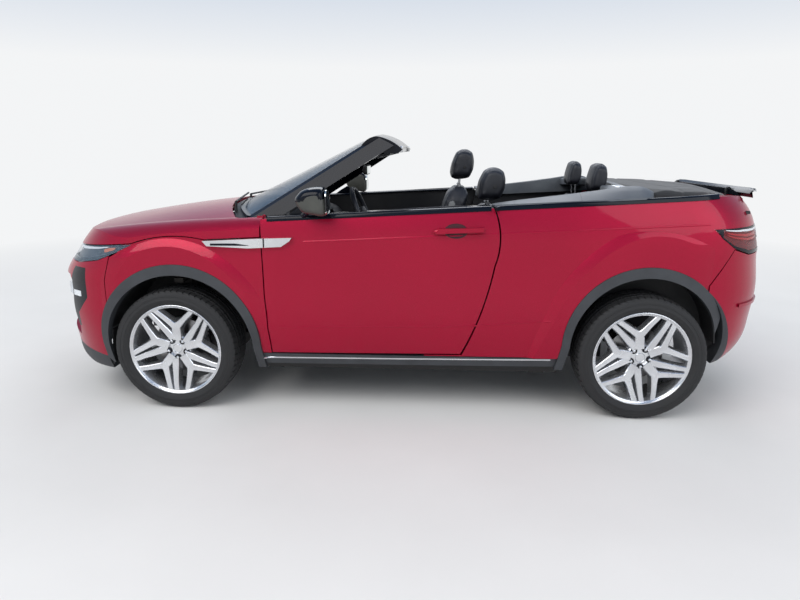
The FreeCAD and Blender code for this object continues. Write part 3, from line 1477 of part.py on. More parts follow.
def exhaust():
    silencer = Part.makeCylinder(85.0, 560.0, V(rear_x + 330.0, -280.0, 400.0), V(0, 1, 0))
    tips = [
        rod(V(rear_x + 330.0, y, 400.0), V(rear_x + 620.0, y, 392.0), 24.0).fuse(
            rod(V(rear_x + 560.0, y, 393.0), V(rear_x + 768.0, y, 388.0), 40.0)
        )
        for y in (-250.0, 250.0)
    ]
    line = pipe([V(front_x + 262.0, 60.0, 272.0), V(rear_x - 370.0, 60.0, 272.0), V(rear_x - 230.0, 200.0, 268.0),
                 V(rear_x + 160.0, 200.0, 262.0), V(rear_x + 330.0, 160.0, 380.0)], 22.0)
    hangers = [box(x, x + 30.0, 62.0, tunnel_y - 16.0 - seat_gap, 262.0, 282.0) for x in (front_x + 700.0, rear_x - 700.0)]
    hangers += [
        box(rear_x + 318.0, rear_x + 342.0, y - 12.0, y + 12.0, 470.0, 560.0 - seat_gap) for y in (-180.0, 180.0)
    ]
    return silencer, tips, line, hangers


def fuel_tank():
    """A saddle tank hung under the rear seat, over the propeller shaft and the exhaust."""
    x0, x1 = rear_x - 384.7, rear_x - 130.0
    return fused([
        box(x0, x1, -560.0, -60.0, 250.0, 409.7), box(x0, x1, -70.0, 70.0, 372.0, 409.7),
        box(x0, x1, 60.0, 560.0, 310.0, 409.7),
    ])


def radiator():
    return box(nose_x + 190.0 + seat_gap, nose_x + 245.0, -375.0, 375.0, 415.0, 785.0)


mirror_depth = 146.0


def mirror():
    """The right door mirror on its foot, with the black corner plate that carries it on the door."""
    x, y, z = door_front_x + 202.0, side_y - 34.0, 1148.0
    outline = [
        (x - 4.0, z + 90.0), ((x + 34.0, z + 136.0), (x + 92.0, z + 155.0)), (x + 150.0, z + 155.0),
        ((x + 172.0, z + 98.0), (x + 176.0, z + 24.0)), (x + 150.0, z - 2.0), (x + 38.0, z + 16.0),
    ]
    head = side_prism(outline, y, y + mirror_depth)
    head = head.makeFillet(22.0, [e for e in head.Edges if abs(e.BoundBox.YMax - y - mirror_depth) < 1.0
                                  and e.BoundBox.YLength < 1.0])
    foot = pipe([V(x + 20.0, side_y - 92.0, z - 30.0), V(x + 60.0, y + 34.0, z + 30.0)], 17.0)
    plate = side_prism(
        [(x - 96.0, 1122.0), (x + 92.0, 1132.0), (x + 62.0, 1180.0), (x + 24.0, 1204.0)], side_y - 120.0, side_y - 108.0
    )
    return fused([head, foot, plate])


def front_valance():
    """The grey lower edge of the nose."""
    shell = body.cut(body_volume(BODY_LEVELS, 60.0))
    zone = side_prism([*VALANCE_TOP, (front_x - 372.0, 212.0), (nose_x - 100.0, 212.0)], -1200, 1200)
    hole = arch_prism("front", True, 0.0, 300, 1200)
    return biggest(shell.common(zone).cut([hole, mirrored(hole)]))


def rear_valance():
    """The grey centre of the rear bumper's lower edge, with the two round holes for the exhaust."""
    volume = body_volume(REAR_BUMPER_LEVELS).cut(body_volume(REAR_BUMPER_LEVELS, 50.0))
    zone = box(rear_x + 300.0, tail_x + 50.0, -valance_half_width, valance_half_width, 270.0, valance_top_z)
    slots = [
        Part.makeCylinder(50.0, 400.0, V(rear_x + 500.0, y, 393.0), V(1, 0, 0)) for y in (-250.0, 250.0)
    ]
    return biggest(volume.common(zone).cut(slots))


os.makedirs("parts", exist_ok=True)

right_wing = front_wings()
vent = vents()
behind_hinge = box(hinge_x, tail_x, 0, 1200, 0, 1400)
wing_vent = biggest(vent.cut([knuckle(shut_gap), behind_hinge, right_wing]))
right_door = door()
door_vent = biggest(vent.common(knuckle(0.0).fuse(behind_hinge)).cut(right_door))
nose = front_bumper()
tail = rear_bumper()
right_quarter = quarter()
frame = windscreen_frame()
scuttle_panel = scuttle(frame)
dash = biggest(dashboard().cut(frame))

save("front_wings", pair(right_wing))
save("wing_vents", pair(wing_vent))
save("door_vent_right", door_vent)
save("door_vent_left", mirrored(door_vent))
save("bonnet", bonnet())
save("front_bumper", nose)
save("front_valance", front_valance())
save("rear_bumper", tail)
save("rear_valance", rear_valance())
save("headlamps", headlamps())
save("tail_lamps", tail_lamps())
save("door_right", right_door)
save("door_left", mirrored(right_door))
save("quarter_panels", pair(right_quarter))
save("boot_lid", bootlid())
save("spoiler", spoiler())
save("cladding", pair(cladding()))
save("grilles", grilles())
save("intake_trims", intake_trims())
save("fog_lamps", fog_lamps())
save("windscreen_frame", frame)
save("windscreen_glass", windscreen_glass(frame))
save("scuttle", scuttle_panel)
save("wipers", wipers(scuttle_panel))

front_frame = biggest(front_structure().cut(nose))
lamp_room = side_prism(TAIL_LAMP, lid_half_width - 4.0, 1200)
behind = [tail, *[f for p in (right_quarter, lamp_room) for f in (p, mirrored(p))]]
rear_frame = biggest(rear_structure().cut(behind))
save("floor_pan", floor_pan())
save("front_structure", front_frame)
save("rear_structure", rear_frame)
liners = arch_liners(nose, behind)
save("arch_liners", liners)
save("dashboard", dash)
save("centre_console", biggest(centre_console().cut(dash)))
save("front_seats", solids(*[front_seat(*row) for row in FRONT_SEATS]))
save("rear_seats", rear_seats())
arm, bridge = deck_panel()
arm = arm.cut(right_quarter)
save("deck_panel", biggest(fused([bridge, arm, mirrored(arm)])))
save("cabin_trim", cabin_trim(right_quarter))
save("soft_top_stowed", soft_top())
save("steering_wheel", steering_wheel())

save("front_subframe", biggest(front_subframe().cut([front_frame, liners])))
save("rear_axle", rear_axle())
save("engine", engine())
save("radiator", radiator())
save("fuel_tank", fuel_tank())
silencer, tips, line, hangers = exhaust()
save("exhaust", fused([silencer, line, *tips, *hangers]))
upright = steering_knuckle()
save("steering_knuckle_right", upright)
save("steering_knuckle_left", mirrored(upright))
right_mirror = biggest(mirror().cut(right_door))
save("mirror_right", right_mirror)
save("mirror_left", mirrored(right_mirror))

plain_rim = rim()
plain_tyre = tyre().cut(plain_rim)
for name, x, y, side, turn, disc in WHEELS:
    save("rim_" + name, seated(plain_rim, x, y, side, turn))
    save("tyre_" + name, seated(plain_tyre, x, y, side, turn))
    save("brake_disc_" + name, seated(brake_disc(disc), x, y, side, turn))
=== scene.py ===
import json
import math
import bmesh
import bpy
from mathutils import Matrix, Vector
from mathutils.bvhtree import BVHTree


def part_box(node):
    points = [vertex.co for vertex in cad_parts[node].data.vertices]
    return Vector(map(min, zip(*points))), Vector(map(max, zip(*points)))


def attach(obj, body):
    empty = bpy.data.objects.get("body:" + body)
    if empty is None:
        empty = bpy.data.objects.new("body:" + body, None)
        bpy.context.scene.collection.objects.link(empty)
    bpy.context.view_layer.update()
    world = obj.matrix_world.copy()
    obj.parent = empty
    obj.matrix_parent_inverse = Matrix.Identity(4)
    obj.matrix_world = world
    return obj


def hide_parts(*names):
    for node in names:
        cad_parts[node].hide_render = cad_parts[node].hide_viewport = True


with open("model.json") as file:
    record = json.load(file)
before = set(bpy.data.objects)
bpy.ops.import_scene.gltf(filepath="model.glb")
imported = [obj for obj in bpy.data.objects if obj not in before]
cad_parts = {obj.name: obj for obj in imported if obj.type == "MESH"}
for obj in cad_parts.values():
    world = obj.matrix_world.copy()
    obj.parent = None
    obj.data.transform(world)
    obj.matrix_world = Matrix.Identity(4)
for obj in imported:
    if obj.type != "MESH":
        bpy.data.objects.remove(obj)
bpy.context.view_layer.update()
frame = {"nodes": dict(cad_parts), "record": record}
nodes = frame["nodes"]

# Camera: at the photograph's place, looking at the car's left side
camera_place = Vector((0.166, -4.180, 1.501))
camera_yaw = -0.0553
camera_pitch = -0.2457
camera_roll = 0.0017
camera_lens_mm = 27.23
sensor_width_mm = 36.0

# Driving places of the car, in metres
front_axle_x = -1.323
rear_axle_x = 1.337
axle_z = 0.360
side_y = 0.932
door_front_x = -0.771
door_rear_x = 0.522
bulkhead_x = -0.938
rim_radius = 0.271
rim_half = 0.108
tyre_radius = 0.360


def add_camera():
    """The camera at the photograph's place and angle."""
    data = bpy.data.cameras.new("camera")
    data.sensor_width = sensor_width_mm
    data.lens = camera_lens_mm
    data.clip_start = 0.05
    data.clip_end = 200.0
    camera = bpy.data.objects.new("camera", data)
    bpy.context.scene.collection.objects.link(camera)
    forward = Vector((
        math.sin(camera_yaw) * math.cos(camera_pitch),
        math.cos(camera_yaw) * math.cos(camera_pitch),
        math.sin(camera_pitch),
    ))
    level_right = Vector((math.cos(camera_yaw), -math.sin(camera_yaw), 0.0))
    level_up = level_right.cross(forward)
    right = math.cos(camera_roll) * level_right + math.sin(camera_roll) * level_up
    up = right.cross(forward)
    turn = Matrix((right, up, -forward)).transposed()
    camera.matrix_world = Matrix.Translation(camera_place) @ turn.to_4x4()
    bpy.context.scene.camera = camera


# Materials
def new_material(name):
    """A material with its node tree and its shader."""
    material = bpy.data.materials.new(name)
    material.use_nodes = True
    tree = material.node_tree
    shader = tree.nodes["Principled BSDF"]
    return material, tree, shader


def add_node(tree, kind, **values):
    """A node whose inputs or settings are set by name."""
    node = tree.nodes.new(kind)
    for key, value in values.items():
        if key in node.inputs:
            node.inputs[key].default_value = value
        else:
            setattr(node, key, value)
    return node


def noise(tree, scale, detail=3.0, rough=0.55):
    """Noise in object space; returns its factor socket."""
    place = add_node(tree, "ShaderNodeTexCoord")
    texture = add_node(tree, "ShaderNodeTexNoise", Scale=scale, Detail=detail, Roughness=rough)
    tree.links.new(place.outputs["Object"], texture.inputs["Vector"])
    return texture.outputs["Fac"]


def ramp(tree, factor, stops):
    """A colour ramp; stops are (position, colour)."""
    node = add_node(tree, "ShaderNodeValToRGB")
    elements = node.color_ramp.elements
    while len(elements) < len(stops):
        elements.new(0.5)
    for element, (position, colour) in zip(elements, stops):
        element.position = position
        element.color = (*colour, 1.0)
    tree.links.new(factor, node.inputs["Fac"])
    return node.outputs["Color"]


def range_of(tree, factor, low, high, from_low=0.0, from_high=1.0):
    """The factor stretched from one range to another."""
    limits = {"From Min": from_low, "From Max": from_high, "To Min": low, "To Max": high}
    node = add_node(tree, "ShaderNodeMapRange", **limits)
    tree.links.new(factor, node.inputs["Value"])
    return node.outputs["Result"]


def bump(tree, shader, height, strength, distance=0.001):
    """Relief from a height, on a shader."""
    node = add_node(tree, "ShaderNodeBump", Strength=strength, Distance=distance)
    tree.links.new(height, node.inputs["Height"])
    tree.links.new(node.outputs["Normal"], shader.inputs["Normal"])


def speckled(name, dark, light, rough_low, rough_high, scale, bump_scale, bump_strength, **values):
    """A surface whose colour and roughness vary softly, with a fine grain."""
    material, tree, shader = new_material(name)
    mottling = noise(tree, scale, 4.0)
    tree.links.new(ramp(tree, mottling, [(0.3, dark), (0.7, light)]), shader.inputs["Base Color"])
    tree.links.new(range_of(tree, mottling, rough_low, rough_high, 0.3, 0.7), shader.inputs["Roughness"])
    bump(tree, shader, noise(tree, bump_scale, 2.0), bump_strength, 0.0004)
    for key, value in values.items():
        shader.inputs[key.replace("_", " ")].default_value = value
    return material


def paint():
    """Metallic crimson under clear lacquer."""
    material, tree, shader = new_material("crimson_paint")
    flakes = noise(tree, 900.0, 1.0, 0.5)
    drift = noise(tree, 1.6, 2.0)
    base = ramp(tree, flakes,
                [(0.25, (0.27, 0.001, 0.018)), (0.62, (0.41, 0.003, 0.034)), (0.8, (0.56, 0.010, 0.065))])
    shade = ramp(tree, drift, [(0.3, (0.93, 0.93, 0.93)), (0.7, (1.0, 1.0, 1.0))])
    mix = add_node(tree, "ShaderNodeMixRGB", blend_type="MULTIPLY")
    mix.inputs["Fac"].default_value = 1.0
    tree.links.new(base, mix.inputs["Color1"])
    tree.links.new(shade, mix.inputs["Color2"])
    tree.links.new(mix.outputs["Color"], shader.inputs["Base Color"])
    tree.links.new(range_of(tree, flakes, 0.3, 0.42), shader.inputs["Roughness"])
    bump(tree, shader, noise(tree, 420.0, 1.0), 0.012, 0.0004)
    shader.inputs["Metallic"].default_value = 0.5
    shader.inputs["Specular IOR Level"].default_value = 0.12
    shader.inputs["Coat Weight"].default_value = 0.55
    shader.inputs["Coat Roughness"].default_value = 0.04
    shader.inputs["Coat IOR"].default_value = 1.4
    return material


def glass(name, colour, alpha, roughness=0.02):
    """Tinted glass with faint smears."""
    material, tree, shader = new_material(name)
    smear = noise(tree, 7.0, 5.0)
    tree.links.new(range_of(tree, smear, roughness, roughness + 0.03), shader.inputs["Roughness"])
    shader.inputs["Base Color"].default_value = (*colour, 1.0)
    shader.inputs["Alpha"].default_value = alpha
    shader.inputs["IOR"].default_value = 1.5
    shader.inputs["Specular IOR Level"].default_value = 0.8
    return material


def woven(name, dark, light, thread, roughness):
    """Cloth of crossed threads; thread is the number of threads in a metre."""
    material, tree, shader = new_material(name)
    place = add_node(tree, "ShaderNodeTexCoord")
    waves = []
    for direction in ("X", "Y"):
        wave = add_node(tree, "ShaderNodeTexWave", wave_type="BANDS", bands_direction=direction,
                        Scale=thread / 20.0, Distortion=0.6)
        tree.links.new(place.outputs["Object"], wave.inputs["Vector"])
        waves.append(wave.outputs["Fac"])
    weave = add_node(tree, "ShaderNodeMath", operation="MULTIPLY")
    tree.links.new(waves[0], weave.inputs[0])
    tree.links.new(waves[1], weave.inputs[1])
    cloud = noise(tree, 6.0, 5.0)
    blend = add_node(tree, "ShaderNodeMath", operation="MULTIPLY_ADD")
    blend.inputs[1].default_value = 0.35
    tree.links.new(weave.outputs[0], blend.inputs[0])
    tree.links.new(cloud, blend.inputs[2])
    tree.links.new(ramp(tree, blend.outputs[0], [(0.35, dark), (0.85, light)]), shader.inputs["Base Color"])
    bump(tree, shader, weave.outputs[0], 0.35, 0.0005)
    shader.inputs["Roughness"].default_value = roughness
    shader.inputs["Sheen Weight"].default_value = 0.25
    return material


def leather(name, dark, light):
    """Leather with a cell grain and soft wear."""
    material, tree, shader = new_material(name)
    place = add_node(tree, "ShaderNodeTexCoord")
    cells = add_node(tree, "ShaderNodeTexVoronoi", feature="DISTANCE_TO_EDGE", Scale=420.0)
    tree.links.new(place.outputs["Object"], cells.inputs["Vector"])
    grain = range_of(tree, cells.outputs["Distance"], 0.0, 1.0, 0.0, 0.25)
    wear = noise(tree, 9.0, 5.0)
    tree.links.new(ramp(tree, wear, [(0.3, dark), (0.75, light)]), shader.inputs["Base Color"])
    tree.links.new(range_of(tree, wear, 0.36, 0.55), shader.inputs["Roughness"])
    bump(tree, shader, grain, 0.25, 0.0006)
    return material


red_paint = paint()
black_gloss = speckled("black_gloss", (0.0025, 0.0035, 0.007), (0.004, 0.006, 0.012), 0.10, 0.16, 3.0,
                       300.0, 0.01,
                       Specular_IOR_Level=0.22)
grey_plastic = speckled("cladding_plastic", (0.028, 0.031, 0.036), (0.045, 0.049, 0.056), 0.48, 0.62,
                        9.0, 700.0, 0.35)
black_plastic = speckled("black_plastic", (0.008, 0.008, 0.009), (0.016, 0.016, 0.018), 0.5, 0.65, 12.0,
                         800.0, 0.35)
deck_plastic = speckled("deck_plastic", (0.070, 0.080, 0.094), (0.105, 0.118, 0.135), 0.4, 0.52, 8.0,
                        700.0, 0.3)
underbody = speckled("underbody_paint", (0.012, 0.012, 0.013), (0.035, 0.034, 0.033), 0.6, 0.8, 6.0,
                     160.0, 0.4)
chassis_iron = speckled("chassis_iron", (0.02, 0.02, 0.021), (0.07, 0.062, 0.055), 0.5, 0.75, 14.0,
                        220.0, 0.5,
                        Metallic=0.5)
cast_metal = speckled("engine_metal", (0.16, 0.16, 0.165), (0.3, 0.3, 0.31), 0.42, 0.6, 16.0, 260.0, 0.5,
                      Metallic=0.85)
steel = speckled("exhaust_steel", (0.3, 0.28, 0.26), (0.5, 0.48, 0.46), 0.25, 0.45, 8.0, 200.0, 0.2,
                 Metallic=1.0)
bright_trim = speckled("bright_trim", (0.62, 0.63, 0.65), (0.74, 0.75, 0.77), 0.2, 0.3, 5.0, 400.0, 0.05,
                       Metallic=1.0)
alloy = speckled("alloy_wheel", (0.62, 0.63, 0.65), (0.76, 0.77, 0.79), 0.2, 0.3, 6.0, 500.0, 0.08,
                 Metallic=0.9)
rubber = speckled("tyre_rubber", (0.012, 0.012, 0.013), (0.022, 0.022, 0.023), 0.62, 0.8, 12.0, 420.0, 0.4)
disc_iron = speckled("disc_iron", (0.22, 0.22, 0.225), (0.38, 0.37, 0.36), 0.28, 0.4, 18.0, 500.0, 0.2,
                     Metallic=1.0)
screen_glass = glass("screen_glass", (0.035, 0.075, 0.13), 0.50)
headlamp_glass = glass("headlamp_glass", (0.30, 0.42, 0.55), 0.22)
tail_lamp_glass = glass("tail_lamp_glass", (0.30, 0.004, 0.010), 0.42)
seat_leather = leather("seat_leather", (0.008, 0.009, 0.013), (0.018, 0.02, 0.028))
pale_leather = leather("pale_leather", (0.19, 0.20, 0.21), (0.27, 0.28, 0.29))
lamp_dark = speckled("lamp_housing", (0.010, 0.014, 0.022), (0.020, 0.026, 0.040), 0.25, 0.4, 12.0,
                     500.0, 0.05)
lamp_clear = speckled("lamp_light_bar", (0.70, 0.74, 0.78), (0.82, 0.86, 0.90), 0.12, 0.2, 9.0, 300.0, 0.05)
lamp_amber = speckled("lamp_marker", (0.50, 0.10, 0.02), (0.62, 0.15, 0.03), 0.12, 0.2, 9.0, 300.0, 0.05)
lamp_red = speckled("lamp_red_bar", (0.62, 0.05, 0.06), (0.75, 0.10, 0.11), 0.12, 0.2, 9.0, 300.0, 0.05)
# Dark red for the dish behind the door grip: painted shade, darker than the body paint where the real recess
# lies in shadow.
painted_recess_shade = speckled("painted_recess_shade", (0.030, 0.001, 0.004), (0.055, 0.002, 0.008), 0.20, 0.28, 8.0,
                        400.0, 0.02)
mirror_base = speckled("mirror_base_plastic", (0.045, 0.047, 0.042), (0.070, 0.072, 0.064), 0.35, 0.48,
                       9.0, 600.0, 0.2)
mirror_silver = speckled("mirror_silver", (0.62, 0.68, 0.66), (0.70, 0.75, 0.73), 0.03, 0.05, 4.0, 300.0,
                         0.005, Metallic=1.0)
screen_black = speckled("display_glass", (0.004, 0.005, 0.007), (0.010, 0.011, 0.014), 0.06, 0.1, 20.0,
                        500.0, 0.01)
roof_cloth = woven("soft_top_fabric", (0.008, 0.0085, 0.01), (0.026, 0.028, 0.032), 900.0, 0.85)

finish_of_slot = {
    "body_paint": red_paint, "underbody_paint": underbody, "black_gloss": black_gloss,
    "grey_plastic": grey_plastic,
    "black_plastic": black_plastic, "deck_grey": deck_plastic, "bright_trim": bright_trim,
    "alloy_wheel": alloy,
    "tyre_rubber": rubber, "disc_iron": disc_iron, "chassis_iron": chassis_iron, "engine_metal": cast_metal,
    "exhaust_steel": steel, "screen_glass": screen_glass, "headlamp_glass": headlamp_glass,
    "tail_lamp_glass": tail_lamp_glass, "seat_leather": seat_leather, "soft_top_fabric": roof_cloth,
}
slot_of_finish = {material.name: slot for slot, material in finish_of_slot.items()}
for material, slot in (
    (painted_recess_shade, "body_paint"), (pale_leather, "seat_leather"), (lamp_dark, "black_plastic"),
    (lamp_clear, "headlamp_glass"), (lamp_amber, "tail_lamp_glass"), (lamp_red, "tail_lamp_glass"),
    (mirror_silver, "bright_trim"), (screen_black, "black_gloss"),
):
    slot_of_finish[material.name] = slot


def finish(piece, material):
    """Gives a CAD node one material."""
    piece.data.materials.clear()
    piece.data.materials.append(material)


def compare(tree, place, rule):
    """One where a coordinate lies under or over a limit; rule is (what, "<" or ">", limit)."""
    what, sign, limit = rule
    if what == "from_rear_axle":
        shift = add_node(tree, "ShaderNodeVectorMath", operation="MULTIPLY_ADD")
        shift.inputs[1].default_value = (1.0, 0.0, 1.0)
        shift.inputs[2].default_value = (-rear_axle_x, 0.0, -axle_z)
        tree.links.new(place, shift.inputs[0])
        length = add_node(tree, "ShaderNodeVectorMath", operation="LENGTH")
        tree.links.new(shift.outputs["Vector"], length.inputs[0])
        value = length.outputs["Value"]
    elif what == "lean_z":
        along = add_node(tree, "ShaderNodeVectorMath", operation="DOT_PRODUCT")
        along.inputs[1].default_value = (1.0, 0.0, -0.9)
        tree.links.new(place, along.inputs[0])
        value = along.outputs["Value"]
    else:
        split = add_node(tree, "ShaderNodeSeparateXYZ")
        tree.links.new(place, split.inputs["Vector"])
        value = split.outputs[what[-1].upper()]
        if what.startswith("side"):
            size = add_node(tree, "ShaderNodeMath", operation="ABSOLUTE")
            tree.links.new(value, size.inputs[0])
            value = size.outputs[0]
    test = add_node(tree, "ShaderNodeMath", operation="LESS_THAN" if sign == "<" else "GREATER_THAN")
    test.inputs[1].default_value = limit
    tree.links.new(value, test.inputs[0])
    return test.outputs[0]


def parted(name, base, dark, light, rough, areas):
    """The base finish, and a second one over the areas; each area is a list of rules that all hold."""
    material = base.copy()
    material.name = name
    tree = material.node_tree
    first = tree.nodes["Principled BSDF"]
    output = [node for node in tree.nodes if node.type == "OUTPUT_MATERIAL"][0]
    second = add_node(tree, "ShaderNodeBsdfPrincipled")
    mottling = noise(tree, 9.0, 4.0)
    tree.links.new(ramp(tree, mottling, [(0.3, dark), (0.7, light)]), second.inputs["Base Color"])
    tree.links.new(range_of(tree, mottling, rough, rough + 0.12, 0.3, 0.7), second.inputs["Roughness"])
    bump(tree, second, noise(tree, 700.0, 2.0), 0.3, 0.0004)
    second.inputs["Specular IOR Level"].default_value = 0.3
    place = add_node(tree, "ShaderNodeTexCoord").outputs["Object"]
    share = None
    for area in areas:
        held = None
        for rule in area:
            test = compare(tree, place, rule)
            if held is not None:
                both = add_node(tree, "ShaderNodeMath", operation="MULTIPLY")
                tree.links.new(held, both.inputs[0])
                tree.links.new(test, both.inputs[1])
                test = both.outputs[0]
            held = test
        if share is not None:
            either = add_node(tree, "ShaderNodeMath", operation="MAXIMUM")
            tree.links.new(share, either.inputs[0])
            tree.links.new(held, either.inputs[1])
            held = either.outputs[0]
        share = held
    blend = add_node(tree, "ShaderNodeMixShader")
    tree.links.new(share, blend.inputs["Fac"])
    tree.links.new(first.outputs[0], blend.inputs[1])
    tree.links.new(second.outputs[0], blend.inputs[2])
    tree.links.new(blend.outputs[0], output.inputs["Surface"])
    return material


for part in frame["record"]["subparts"]:
    finish(nodes[part["node"]], finish_of_slot[part["material_slot"]])

# Second finishes of panels that carry two. Each: dark and light colour, roughness
plastic_colours = ((0.028, 0.031, 0.036), (0.045, 0.049, 0.056), 0.48)
black_colours = ((0.003, 0.004, 0.007), (0.006, 0.008, 0.013), 0.14)
matt_colours = ((0.008, 0.008, 0.009), (0.016, 0.016, 0.018), 0.5)
bumper_front_paint = parted("front_bumper_paint", red_paint, *black_colours, [
    [("side_y", ">", 0.795), ("z", ">", 0.470), ("z", "<", 0.830), ("x", "<", -1.925)],
    [("side_y", ">", 0.795), ("z", ">", 0.560), ("z", "<", 0.830), ("x", "<", -1.832),
     ("lean_z", "<", -2.424)],
])
bumper_rear_paint = parted("rear_bumper_paint", red_paint, *plastic_colours,
                           [[("from_rear_axle", "<", 0.505)]])
lid_paint = parted("boot_lid_paint", red_paint, *black_colours, [[("z", ">", 1.236), ("x", "<", 2.040)]])
door_paint = parted("door_paint", red_paint, *matt_colours, [[("side_y", "<", 0.850)]])
quarter_paint = parted("quarter_paint", red_paint, *matt_colours,
                       [[("side_y", "<", 0.838), ("x", "<", 1.340)]])
finish(nodes["front_bumper"], bumper_front_paint)
finish(nodes["rear_bumper"], bumper_rear_paint)
finish(nodes["boot_lid"], lid_paint)
finish(nodes["door_left"], door_paint)
finish(nodes["door_right"], door_paint)
finish(nodes["quarter_panels"], quarter_paint)


# Shapes
class Shape:
    """Points and faces of one mesh, gathered bit by bit."""

    def __init__(self, *parts):
        self.points = []
        self.faces = []
        for part in parts:
            self.add(part)

    def add(self, part):
        """Takes in another shape, or a pair of points and faces."""
        points, faces = (part.points, part.faces) if isinstance(part, Shape) else part
        start = len(self.points)
        self.points += [Vector(p) for p in points]
        self.faces += [tuple(i + start for i in face) for face in faces]
        return self

    def placed(self, matrix):
        copy = Shape()
        copy.points = [matrix @ p for p in self.points]
        copy.faces = list(self.faces)
        return copy


def spline(points, steps, closed=False):
    """A smooth run through the points, with a number of steps between neighbours."""
    points = [Vector(p) for p in points]
    if closed:
        ends = [points[-1], *points, points[0], points[1]]
    else:
        ends = [2 * points[0] - points[1], *points, 2 * points[-1] - points[-2]]
    run = []
    for a, b, c, d in zip(ends, ends[1:], ends[2:], ends[3:]):
        for n in range(steps):
            t = n / steps
            bend = 2 * a - 5 * b + 4 * c - d
            twist = 3 * b - a - 3 * c + d
            run.append(0.5 * (2 * b + (c - a) * t + bend * t * t + twist * t ** 3))
    if not closed:
        run.append(points[-1])
    return run


def loft(rings, closed=False):
    """Rings with equal numbers of points, joined one to the next, and filled at both ends unless closed."""
    count = len(rings[0])
    points = [p for ring in rings for p in ring]
    faces = []
    for i in range(len(rings) if closed else len(rings) - 1):
        j = (i + 1) % len(rings)
        for k in range(count):
            m = (k + 1) % count
            faces.append((i * count + k, j * count + k, j * count + m, i * count + m))
    if not closed:
        faces.append(tuple(range(count)))
        faces.append(tuple((len(rings) - 1) * count + k for k in range(count)))
    return points, faces


def lathe(profile, steps, x=0.0, z=0.0):
    """A closed profile of (radius, y) turned about a crosswise axis through x and z."""
    rings = []
    for n in range(steps):
        angle = 2 * math.pi * n / steps
        rings.append([Vector((x + r * math.sin(angle), y, z + r * math.cos(angle))) for r, y in profile])
    return loft(rings, closed=True)


def sweep(path, section, up=(0.0, 0.0, 1.0)):
    """A section of (side, up) offsets carried along a path; a section may be a function of the share done."""
    path = [Vector(p) for p in path]
    up = Vector(up)
    rings = []
    for i, point in enumerate(path):
        ahead = path[min(i + 1, len(path) - 1)] - path[max(i - 1, 0)]
        side = ahead.cross(up).normalized()
        rise = side.cross(ahead).normalized()
        offsets = section(i / (len(path) - 1)) if callable(section) else section
        rings.append([point + a * side + b * rise for a, b in offsets])
    return loft(rings)


def standing(x, y, z):
    """Stands a lathed form upright at a place."""
    return Matrix.Translation((x, y, z)) @ Matrix.Rotation(math.pi / 2, 4, "X")


def round_section(radius, count=12, flat=1.0):
    """A round or flattened section for a sweep."""
    angles = [2 * math.pi * n / count for n in range(count)]
    return [(radius * math.cos(a), radius * flat * math.sin(a)) for a in angles]


def rounded_box(low, high, radius, steps=3):
    """A box whose upright and level edges are rounded, as rings stacked upwards."""
    (x0, y0, z0), (x1, y1, z1) = low, high
    radius = min(radius, (x1 - x0) / 2.01, (y1 - y0) / 2.01, (z1 - z0) / 2.01)
    bottom = []
    for n in range(steps + 1):
        angle = math.pi / 2 * n / steps
        bottom.append((z0 + radius * (1 - math.cos(angle)), radius * (1 - math.sin(angle))))
    top = [(z1 + z0 - z, inset) for z, inset in reversed(bottom)]
    rings = []
    for z, inset in [*bottom, *top]:
        ring = []
        for cx, cy, start in (
            (x1 - radius, y1 - radius, 0.0), (x0 + radius, y1 - radius, 0.5 * math.pi),
            (x0 + radius, y0 + radius, math.pi), (x1 - radius, y0 + radius, 1.5 * math.pi),
        ):
            for n in range(steps + 1):
                angle = start + 0.5 * math.pi * n / steps
                ring.append(Vector((
                    cx + (radius - inset) * math.cos(angle), cy + (radius - inset) * math.sin(angle), z,
                )))
        rings.append(ring)
    return loft(rings)


def slab(outline, y0, y1, edge=0.002):
    """An outline in X and Z with a thickness across the car and chamfered rims."""
    middle = sum((Vector(p) for p in outline), Vector((0.0, 0.0))) / len(outline)
    rings = []
    for y, inset in ((y0, edge), (y0 + math.copysign(edge, y1 - y0), 0.0),
                     (y1 - math.copysign(edge, y1 - y0), 0.0), (y1, edge)):
        ring = []
        for p in outline:
            away = Vector(p) - middle
            shrink = max(0.0, 1.0 - inset / max(away.length, 0.001))
            ring.append(Vector((middle.x + away.x * shrink, y, middle.y + away.y * shrink)))
        rings.append(ring)
    return loft(rings)


def new_thing(name, shape):
    """An object in the scene with the shape's mesh, its faces turned outwards."""
    mesh = bpy.data.meshes.new(name)
    mesh.from_pydata(shape.points, [], shape.faces)
    work = bmesh.new()
    work.from_mesh(mesh)
    bmesh.ops.recalc_face_normals(work, faces=work.faces)
    work.to_mesh(mesh)
    work.free()
    thing = bpy.data.objects.new(name, mesh)
    bpy.context.scene.collection.objects.link(thing)
    return thing


def piece(name, shape, body, material, sharp=35.0):
    """A finished mesh that rides on a body."""
    thing = new_thing(name, shape)
    thing.data.materials.append(material)
    smooth(thing.data, sharp)
    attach(thing, body)
    return thing


def smooth(mesh, sharp):
    """Smooth shading, apart from edges sharper than an angle in degrees."""
    mesh.polygons.foreach_set("use_smooth", [True] * len(mesh.polygons))
    mesh.set_sharp_from_angle(angle=math.radians(sharp))


def soften(thing, width, segments=2, angle=32.0):
    """Rounds the sharp edges, with a modifier that leaves the mesh as it is."""
    bevel = thing.modifiers.new("edges", "BEVEL")
    bevel.width = width
    bevel.segments = segments
    bevel.limit_method = "ANGLE"
    bevel.angle_limit = math.radians(angle)


def second_finish(thing, material, belongs):
    """Gives another material to the faces whose middle passes a test."""
    thing.data.materials.append(material)
    index = len(thing.data.materials) - 1
    for polygon in thing.data.polygons:
        if belongs(polygon.center):
            polygon.material_index = index


skins = {}


def skin_of(node):
    """A search tree of one CAD node's faces, made once."""
    if node not in skins:
        mesh = nodes[node].data
        skins[node] = BVHTree.FromPolygons([v.co for v in mesh.vertices],
                                           [p.vertices[:] for p in mesh.polygons])
    return skins[node]


